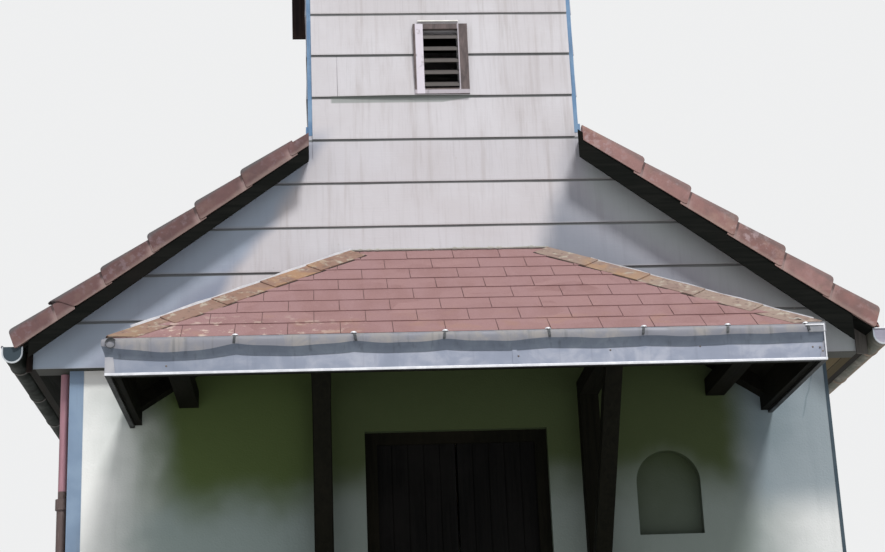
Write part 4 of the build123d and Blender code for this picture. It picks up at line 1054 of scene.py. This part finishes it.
# Each row is the reach outwards, the height and the share of the sag
roll_section = ((-0.045, 2.6225, 0.0), (-0.02, 2.611, 0.0), (0.003, 2.606, 0.0), (0.016, 2.600, 0.05),
                (0.0235, 2.590, 0.2), (0.0255, 2.576, 0.45), (0.0255, 2.560, 0.8), (0.0235, 2.549, 1.0))
shade_section = ((0.0235, 2.549, 1.0), (0.020, 2.541, 1.0), (0.010, 2.515, 0.9), (0.0045, 2.497, 0.75),
                 (0.0025, 2.484, 0.7))


def sag_at(x):
    """How far the roll hangs down between two clips."""
    for low, high, depth in zip(STOPS, STOPS[1:], SAGS):
        if low <= x <= high:
            return depth * math.sin(math.pi * (x - low) / (high - low)) ** 0.75
    return 0.0


def pinch_at(x):
    """How much a clip presses the roll in, from 0 to 1."""
    return max(max(0.0, 1 - abs(x - clip_x) / 0.05) ** 2 for clip_x in CLIPS)


path = []


def trace(x, y, outward, sag=0.0, pinch=0.0):
    """Adds a point of the canopy's edge to the path that the roll follows."""
    path.append((Vector((x, y, 0)), Vector(outward), sag, pinch))


def side_sag(n):
    return 0.012 * math.sin(math.pi * n / 8) ** 2


# Along the left side, the front and the right side
for n in range(25):
    y = FRONT - 0.001 + (CANOPY_FRONT - FRONT) * n / 24
    trace(-CANOPY_HALF, y, (-1, -1 if n == 24 else 0, 0), side_sag(n))
for n in range(1, 180):
    x = -CANOPY_HALF + 2 * CANOPY_HALF * n / 180
    trace(x, CANOPY_FRONT, (0, -1, 0), sag_at(x), pinch_at(x))
trace(CANOPY_HALF, CANOPY_FRONT, (0.15, -1, 0))
for n in range(1, 25):
    y = CANOPY_FRONT + (FRONT - 0.001 - CANOPY_FRONT) * n / 24
    trace(CANOPY_HALF, y, (0.15, 0, 0), side_sag(n))
for section, material, name in ((roll_section, ROLL, "edge_roll"),
                                (shade_section, ROLL_SHADE, "edge_roll_underside")):
    rows, distance, last = [], 0.0, path[0][0]
    for point, outward, sag, pinch in path:
        distance += (point - last).length
        last = point
        ripple = 0.0016 * math.sin(9.1 * distance) + 0.0011 * math.sin(23 * distance + 1.0)
        row = []
        for reach, z, share in section:
            out = reach + (ripple - 0.006 * pinch) * share * (1 if reach > 0.006 else 0.3)
            row.append(point + outward * out + UP * (z - sag * share + ripple * share * 1.5))
        rows.append(row)
    Shape().grid(rows).piece(name, material, "zinc", smooth=60,
                             replaces=("canopy_flashing",) if name == "edge_roll" else ())

# Clips that hold the roll, each a dark strap under a pale lead plug
clips = Shape()
plugs = Shape()
chooser = random.Random(8)
for x in CLIPS:
    lean = chooser.uniform(-0.004, 0.004)
    strap = ((0.0015, 2.610), (0.0185, 2.601), (0.0275, 2.588), (0.0275, 2.562), (0.022, 2.550))
    low, back = ([(x - 0.008 + lean * n, CANOPY_FRONT - reach + out, z) for n, (reach, z) in enumerate(strap)]
                 for out in (-0.0022, 0.002))
    ring = low + back[::-1]
    clips.prism(ring, [(a + 0.016, b, c) for a, b, c in ring])
    rows = []
    for k in range(5):
        a = math.pi * k / 8
        reach, rise = 0.021 * math.cos(a), 0.013 * math.sin(a)
        rows.append([(x + reach * math.cos(t), CANOPY_FRONT - 0.004 + reach * math.sin(t) * 0.8, 2.606 + rise)
                     for t in turns(10)])
    plugs.grid(rows, closed=True)
clips.piece("edge_clips", STRAP, "zinc", bevel=0.001)
plugs.piece("edge_clip_plugs", PALE_EDGE, "zinc", smooth=60)

# The left side's roll shows its curled end at the corner
rows = []
for n in range(34):
    turn = n / 33 * 1.35 * math.tau
    row = []
    for y in (-4.786, -4.76, -4.70, -4.64):
        radius = (0.037 - 0.011 * n / 33) * (1.0 - 0.12 * (y + 4.786) / 0.146)
        row.append((-2.242 + radius * math.cos(turn + 0.6), y, 2.566 + radius * math.sin(turn + 0.6)))
    rows.append(row)
curl = Shape().grid(rows).piece("edge_roll_end", STRAP, "zinc", smooth=60)
curl.modifiers.new("sheet", "SOLIDIFY").thickness = 0.003

# Folded covers on the canopy's corners and the loose sheet at the foot of the right hip
covers = Shape()
for side, low_width, high_width in ((1, 0.052, 0.016), (-1, 0.066, 0.05)):
    corner, front = side * (CANOPY_HALF + 0.0035), CANOPY_FRONT - 0.0035
    ends = []
    for width, depth, z in ((low_width, 0.06, 2.369), (high_width, 0.045, 2.50)):
        outer, inner = corner - side * width, corner - side * 0.002
        ends.append([(outer, front + 0.002, z), (outer, front, z), (corner, front, z), (corner, front + depth, z),
                     (inner, front + depth, z), (inner, front + 0.002, z)])
    covers.prism(*ends)
covers.piece("edge_corner_covers", COVER, "zinc", bevel=0.0015)
cap_low = [(2.17, -4.7775), (2.282, -4.7775), (2.282, -4.66), (2.276, -4.66), (2.276, -4.769), (2.17, -4.769)]
Shape().prism([(x, y, 2.545) for x, y in cap_low], [(x, y + 0.004, 2.611) for x, y in cap_low]).piece(
    "edge_corner_cap", CORNER_CAP, "zinc", bevel=0.0015)
welts = Shape().prism(*([(x, y, z), (x + 0.008, y, z), (x + 0.008, y + 0.006, z), (x, y + 0.006, z)]
                        for x, y, z in ((2.268, -4.759, 2.372), (2.265, -4.7815, 2.594))))
welts.box((2.15, -4.7805, 2.588), (2.272, -4.768, 2.597))
welts.piece("edge_corner_welts", PALE_EDGE, "zinc", bevel=0.001)
loose = Shape()
for start, end, width, bend in (((2.06, -4.66, 2.668), (2.19, -4.715, 2.632), 0.05, 0.016),
                                ((2.10, -4.60, 2.70), (2.235, -4.66, 2.655), 0.035, -0.012)):
    start, end = Vector(start), Vector(end)
    across = Vector((0, 1, 0.2)).normalized() * width
    rows = []
    for n in range(9):
        t = n / 8
        centre = start.lerp(end, t) + UP * (bend * math.sin(math.pi * t) + 0.004 * math.sin(14 * t))
        rows.append([centre - across / 2 - UP * 0.008, centre, centre + across / 2 - UP * 0.003])
    loose.grid(rows)
loose_sheet = loose.piece("loose_hip_lead", LOOSE_LEAD, "zinc", smooth=50)
loose_sheet.modifiers.new("sheet", "SOLIDIFY").thickness = 0.003

# Pale strips along each hip, painted light standing in for a sunlit sliver of boards behind the hip, and the sealing
# bead where the shingles meet the boards
edges = Shape()
steps = 16
for side, first, last, tall in ((-1, 1, steps, 0.017), (1, 0, 13, 0.009)):
    low = Vector((side * (CANOPY_HALF - 0.05), CANOPY_FRONT + 0.05, CANOPY_EAVE + 0.052))
    high = Vector((side * CANOPY_TOP_HALF, GABLE - 0.02, CANOPY_TOP + 0.008))
    away = Vector((side * 0.66, 0.75, 0)).normalized()
    for n in range(first, last):
        ends = []
        for at in (n, n + 1):
            point = low.lerp(high, at / steps)
            rise = tall + 0.004 * math.sin(1.9 * at + side)
            ends.append([point, point + away * 0.012, point + away * 0.014 + UP * rise, point + UP * rise])
        edges.prism(*ends)
edges.piece("hip_pale_strips", PALE_EDGE, "zinc", smooth=40)
rows = []
chooser = random.Random(9)
for n in range(71):
    x = -CANOPY_TOP_HALF - 0.02 + (2 * CANOPY_TOP_HALF + 0.04) * n / 70
    swell = 0.007 + 0.002 * math.sin(13 * x) + (0.008 if chooser.random() < 0.09 else 0.0)
    rows.append([(x, GABLE - 0.0165 + swell * math.cos(t), CANOPY_TOP + 0.004 + swell * math.sin(t))
                 for t in turns(8)])
Shape().grid(rows, closed=True).piece("sealing_bead", CONCRETE, "shingles", smooth=60)

# Drip edge along the foot of the fascia, its near-white tone a painted highlight along that edge, its seam and its
# nails
drip_foot, drip_back = CANOPY_FASCIA + 0.0005, CANOPY_FRONT - 0.0005
drip_half = CANOPY_HALF + 0.004
Shape().box((-drip_half, drip_back - 0.006, drip_foot), (drip_half, drip_back, drip_foot + 0.016)).piece(
    "drip_edge", PALE_EDGE, "zinc", bevel=0.002)
side_drip = Shape()
for side in SIDES:
    side_drip.box((side * (CANOPY_HALF + 0.0005), drip_back, drip_foot),
                  (side * (CANOPY_HALF + 0.0035), FRONT - 0.002, drip_foot + 0.0125))
side_drip.piece("side_drip_edges", STRAP, "zinc", bevel=0.001)
Shape().box((0.262, FASCIA_FACE - 0.0023, 2.384), (0.292, FASCIA_FACE, 2.488)).piece(
    "fascia_seam", ZINC, "zinc", bevel=0.0008)
nails = Shape()
facing = Vector((0, -1, 0))
across = facing.orthogonal().normalized()
other = facing.cross(across)
for x, z in ((0.301, 2.434), (0.887, 2.460), (1.464, 2.473), (2.19, 2.452), (-1.02, 2.476), (-1.9, 2.42),
             (2.236, 2.448), (2.252, 2.424)):
    on_cover = x > 2.2
    place = Vector((x, FASCIA_FACE - 0.0033 if on_cover else FASCIA_FACE, z))
    nails.grid([[place + (across * math.cos(t) + other * math.sin(t)) * 0.0065 * share
                 + facing * 0.003 * height for t in turns(8)]
                for share, height in ((1.0, 0.0), (0.9, 0.55), (0.55, 0.9), (0.05, 1.0))], closed=True)
nails.piece("fascia_nails", NAIL, "zinc", smooth=50)

# Gutters: end caps, rolled front edges and the bands of their brackets
GUTTER_X, GUTTER_R, GUTTER_Z, GUTTER_TOP = 3.06, 0.067, 2.8536, 2.8986
caps = Shape()
rims = Shape()
centre = Vector((GUTTER_X, GUTTER_Z))
outline = [(GUTTER_X - GUTTER_R, GUTTER_TOP), (GUTTER_X - GUTTER_R, GUTTER_Z)]
# The lower half of the circle
outline += [(GUTTER_X + GUTTER_R * math.cos(t), GUTTER_Z + GUTTER_R * math.sin(t)) for t in turns(28)[15:]]
outline += [(GUTTER_X + GUTTER_R, GUTTER_Z), (GUTTER_X + GUTTER_R, GUTTER_TOP)]


def round_gutter(side, points, section):
    """Rows of points round the gutter's outline; the section gives reach outwards and place along y."""
    rows = []
    for x, z in points:
        away = (Vector((x, z)) - centre).normalized()
        rows.append([(side * (x + away.x * r), y, z + away.y * r) for r, y in section])
    return rows


for side, word in SIDES.items():
    bands = Shape()
    for y_low, y_high in ((ROOF_FRONT - 0.004, ROOF_FRONT + 0.002), (ROOF_BACK - 0.002, ROOF_BACK + 0.004)):
        inner = [centre + (Vector(point) - centre) * 0.97 for point in outline]
        caps.bar(inner, y_low, y_high, side)
        rims.grid(round_gutter(side, outline, ((-0.005, y_low - 0.003), (0.0045, y_low - 0.003),
                                               (0.0045, y_high + 0.003), (-0.005, y_high + 0.003))), closed=True)
    rows = []
    for y in (ROOF_FRONT, ROOF_BACK):
        rows.append([(side * (GUTTER_X + GUTTER_R + 0.004 + 0.009 * math.cos(t)), y, GUTTER_TOP + 0.009 * math.sin(t))
                     for t in turns(10)])
    rims.grid(rows, closed=True)
    for n in range(9):
        y = ROOF_FRONT + 0.33 + n * 0.81
        bands.grid(round_gutter(side, outline[1:-1], ((0.0005, y - 0.014), (0.0045, y - 0.012),
                                                      (0.0045, y + 0.012), (0.0005, y + 0.014))))
    # The left bands are black, painted shade like the left gutter's; the right ones are brown
    bands.piece("gutter_bands_" + word, IRON if side < 0 else BAND, "zinc", smooth=40)
caps.piece("gutter_end_caps", END_CAP, "zinc")
rims.piece("gutter_rims", RIM, "zinc", smooth=40)
Shape().box((2.998, ROOF_FRONT - 0.0115, 2.8955), (3.128, ROOF_FRONT - 0.0065, 2.9035)).piece(
    "gutter_end_edge", PALE_EDGE, "zinc", bevel=0.001)

# Sheet aprons where the tower comes through the roof
apron = Shape()
for side in SIDES:
    base = cover(TOWER_HALF)
    section = [(TOWER_HALF + 0.001, base - 0.01), (TOWER_HALF + 0.001, base + 0.12), (TOWER_HALF + 0.02, base + 0.12),
               (TOWER_HALF + 0.022, base + 0.035), (TOWER_HALF + 0.15, base + 0.035 - 0.128 * SLOPE),
               (TOWER_HALF + 0.152, base + 0.022 - 0.13 * SLOPE)]
    apron.bar(section, -3.36, TOWER_BACK + 0.02, side)
    section = ((0.001, -0.03), (0.001, 0.13), (0.02, 0.13), (0.022, 0.012), (0.14, 0.006), (0.14, -0.01))
    apron.prism(*([(side * x, TOWER_BACK + out, cover(x) + 0.035 / SLOPE_COS + up) for out, up in section]
                  for x in (TOWER_HALF + 0.02, 0.0)))
apron.piece("tower_aprons", STRIP_ZINC, "zinc", bevel=0.002)

# White cap strip over the small louvre
Shape().prism(*([(left, GABLE - back, z_back), (right, GABLE - back, z_back), (right, GABLE - front, z_front),
                 (left, GABLE - front, z_front)] for left, right, back, z_back, front, z_front in
                ((-0.17, 0.14, 0.010, 5.432, 0.024, 5.430), (-0.168, 0.138, 0.008, 5.447, 0.021, 5.442)))).piece(
    "louvre_cap_strip", FRAME_PAINT, "weathered_boards", bevel=0.0015)

# Glazing bars and sloping sills of the side windows
glazing = Shape()
sills = Shape()
WINDOW_SILL = 1.25
for side in SIDES:
    for middle in (-1.3, 1.3):
        inner, outer = side * 2.551, side * 2.574
        glazing.box((inner, middle - 0.012, WINDOW_SILL + 0.05), (outer, middle + 0.012, WINDOW_SILL + 0.947))
        for z in (WINDOW_SILL + 0.33, WINDOW_SILL + 0.63):
            for y_low, y_high in ((middle - 0.247, middle - 0.012), (middle + 0.012, middle + 0.247)):
                glazing.box((inner, y_low, z - 0.011), (outer, y_high, z + 0.011))
        section = [(2.591, 0.028), (2.706, 0.012), (2.728, 0.008), (2.728, -0.018), (2.725, -0.018), (2.725, 0.004),
                   (2.705, 0.008), (2.591, 0.024)]
        sills.bar([(x, WINDOW_SILL + z) for x, z in section], middle - 0.298, middle + 0.298, side)
glazing.piece("glazing_bars", FRAME_PAINT, "white_paint", bevel=0.0025)
sills.piece("window_sill_sheets", ZINC_SILL, "zinc", bevel=0.001)

# Cove under the tower's cornice
steps = [(0.0, -0.062), (0.012, -0.06), (0.02, -0.046), (0.032, -0.02), (0.05, -0.006), (0.052, 0.0), (0.0, 0.0)]
rings = []
for out, z in steps:
    half = TOWER_HALF + 0.0145 + out
    rings.append([(x * half, TOWER_CENTRE + y * half, boards_top + z) for x, y in ((-1, -1), (1, -1), (1, 1), (-1, 1))])
Shape().grid(rings, closed=True).piece("cornice_cove", BROWN, "brown_timber")

# Floor, backdrop, lights and camera
floor_mesh = bpy.data.meshes.new("studio_floor")
profile = [(400.0, 0.0), (-7.5, 0.0)]
profile += [(-7.5 - 7.0 * t, -0.9 * (3 * t * t - 2 * t ** 3)) for t in [n / 16 for n in range(1, 17)]]
profile.append((-400.0, -0.9))
floor_points = [(x, y, z) for y, z in profile for x in (-400, 400)]
floor_faces = [(2 * n, 2 * n + 1, 2 * n + 3, 2 * n + 2) for n in range(len(profile) - 1)]
floor_mesh.from_pydata(floor_points, [], floor_faces)
floor_mesh.shade_smooth()
ground = Paint("studio_floor", roughness=0.9)
ground.colour(ground.mix(ground.noise(0.8, 3.0), (0.615, 0.615, 0.605), (0.63, 0.63, 0.62)))
floor_mesh.materials.append(ground.material)
add_object("studio_floor", floor_mesh)

world = bpy.data.worlds.new("studio")
bpy.context.scene.world = world
world.use_nodes = True
sky = Graph(world.node_tree)
background = sky.tree.nodes["Background"]
sky.feed((0.93, 0.96, 1.0), background.inputs["Color"])
sky.feed(0.42, background.inputs["Strength"])
shown = sky.new("Background", {"Color": (0.86, 0.865, 0.87), "Strength": 1.0})
camera_ray, glass_ray = (sky.new("LightPath", {}, f"Is {kind} Ray") for kind in ("Camera", "Transmission"))
seen = sky.math("MAXIMUM", camera_ray, glass_ray)
chosen = sky.new("MixShader", {0: seen, 1: Value(sky, background.outputs[0]), 2: shown})
sky.feed(chosen, sky.tree.nodes["World Output"].inputs["Surface"])


def lamp(name, azimuth, elevation, strength, softness, colour=(1, 1, 1)):
    """A distant soft lamp; azimuth 0 shines from the front, 90 from the right."""
    light = bpy.data.lights.new(name, "SUN")
    light.energy = strength
    light.angle = math.radians(softness)
    light.color = colour
    thing = add_object(name, light)
    a, e = math.radians(azimuth), math.radians(elevation)
    source = Vector((math.sin(a) * math.cos(e), -math.cos(a) * math.cos(e), math.sin(e)))
    thing.rotation_euler = source.to_track_quat("Z", "Y").to_euler()
    thing.location = source * 20


lamp("key", 22, 52, 2.85, 12, (1.0, 0.985, 0.96))
lamp("fill", -50, 30, 0.4, 60, (0.95, 0.97, 1.0))
lamp("back", 170, 45, 0.7, 60)

yaw, pitch, roll_angle = math.radians(4.247), math.radians(17.717), math.radians(2.377)
forward = Vector((math.sin(yaw) * math.cos(pitch), math.cos(yaw) * math.cos(pitch), math.sin(pitch)))
right = Vector((math.cos(yaw), -math.sin(yaw), 0))
upward = right.cross(forward)
camera_x = right * math.cos(roll_angle) - upward * math.sin(roll_angle)
camera_y = right * math.sin(roll_angle) + upward * math.cos(roll_angle)
lens = bpy.data.cameras.new("camera")
lens.sensor_width = 36
lens.lens = 70.70
lens.clip_end = 400
camera = add_object("camera", lens)
camera.matrix_world = Matrix((
    (camera_x.x, camera_y.x, -forward.x, -0.940),
    (camera_x.y, camera_y.y, -forward.y, -15.278),
    (camera_x.z, camera_y.z, -forward.z, -0.399),
    (0, 0, 0, 1)))
bpy.context.scene.camera = camera
bpy.context.scene.view_settings.view_transform = "Standard"
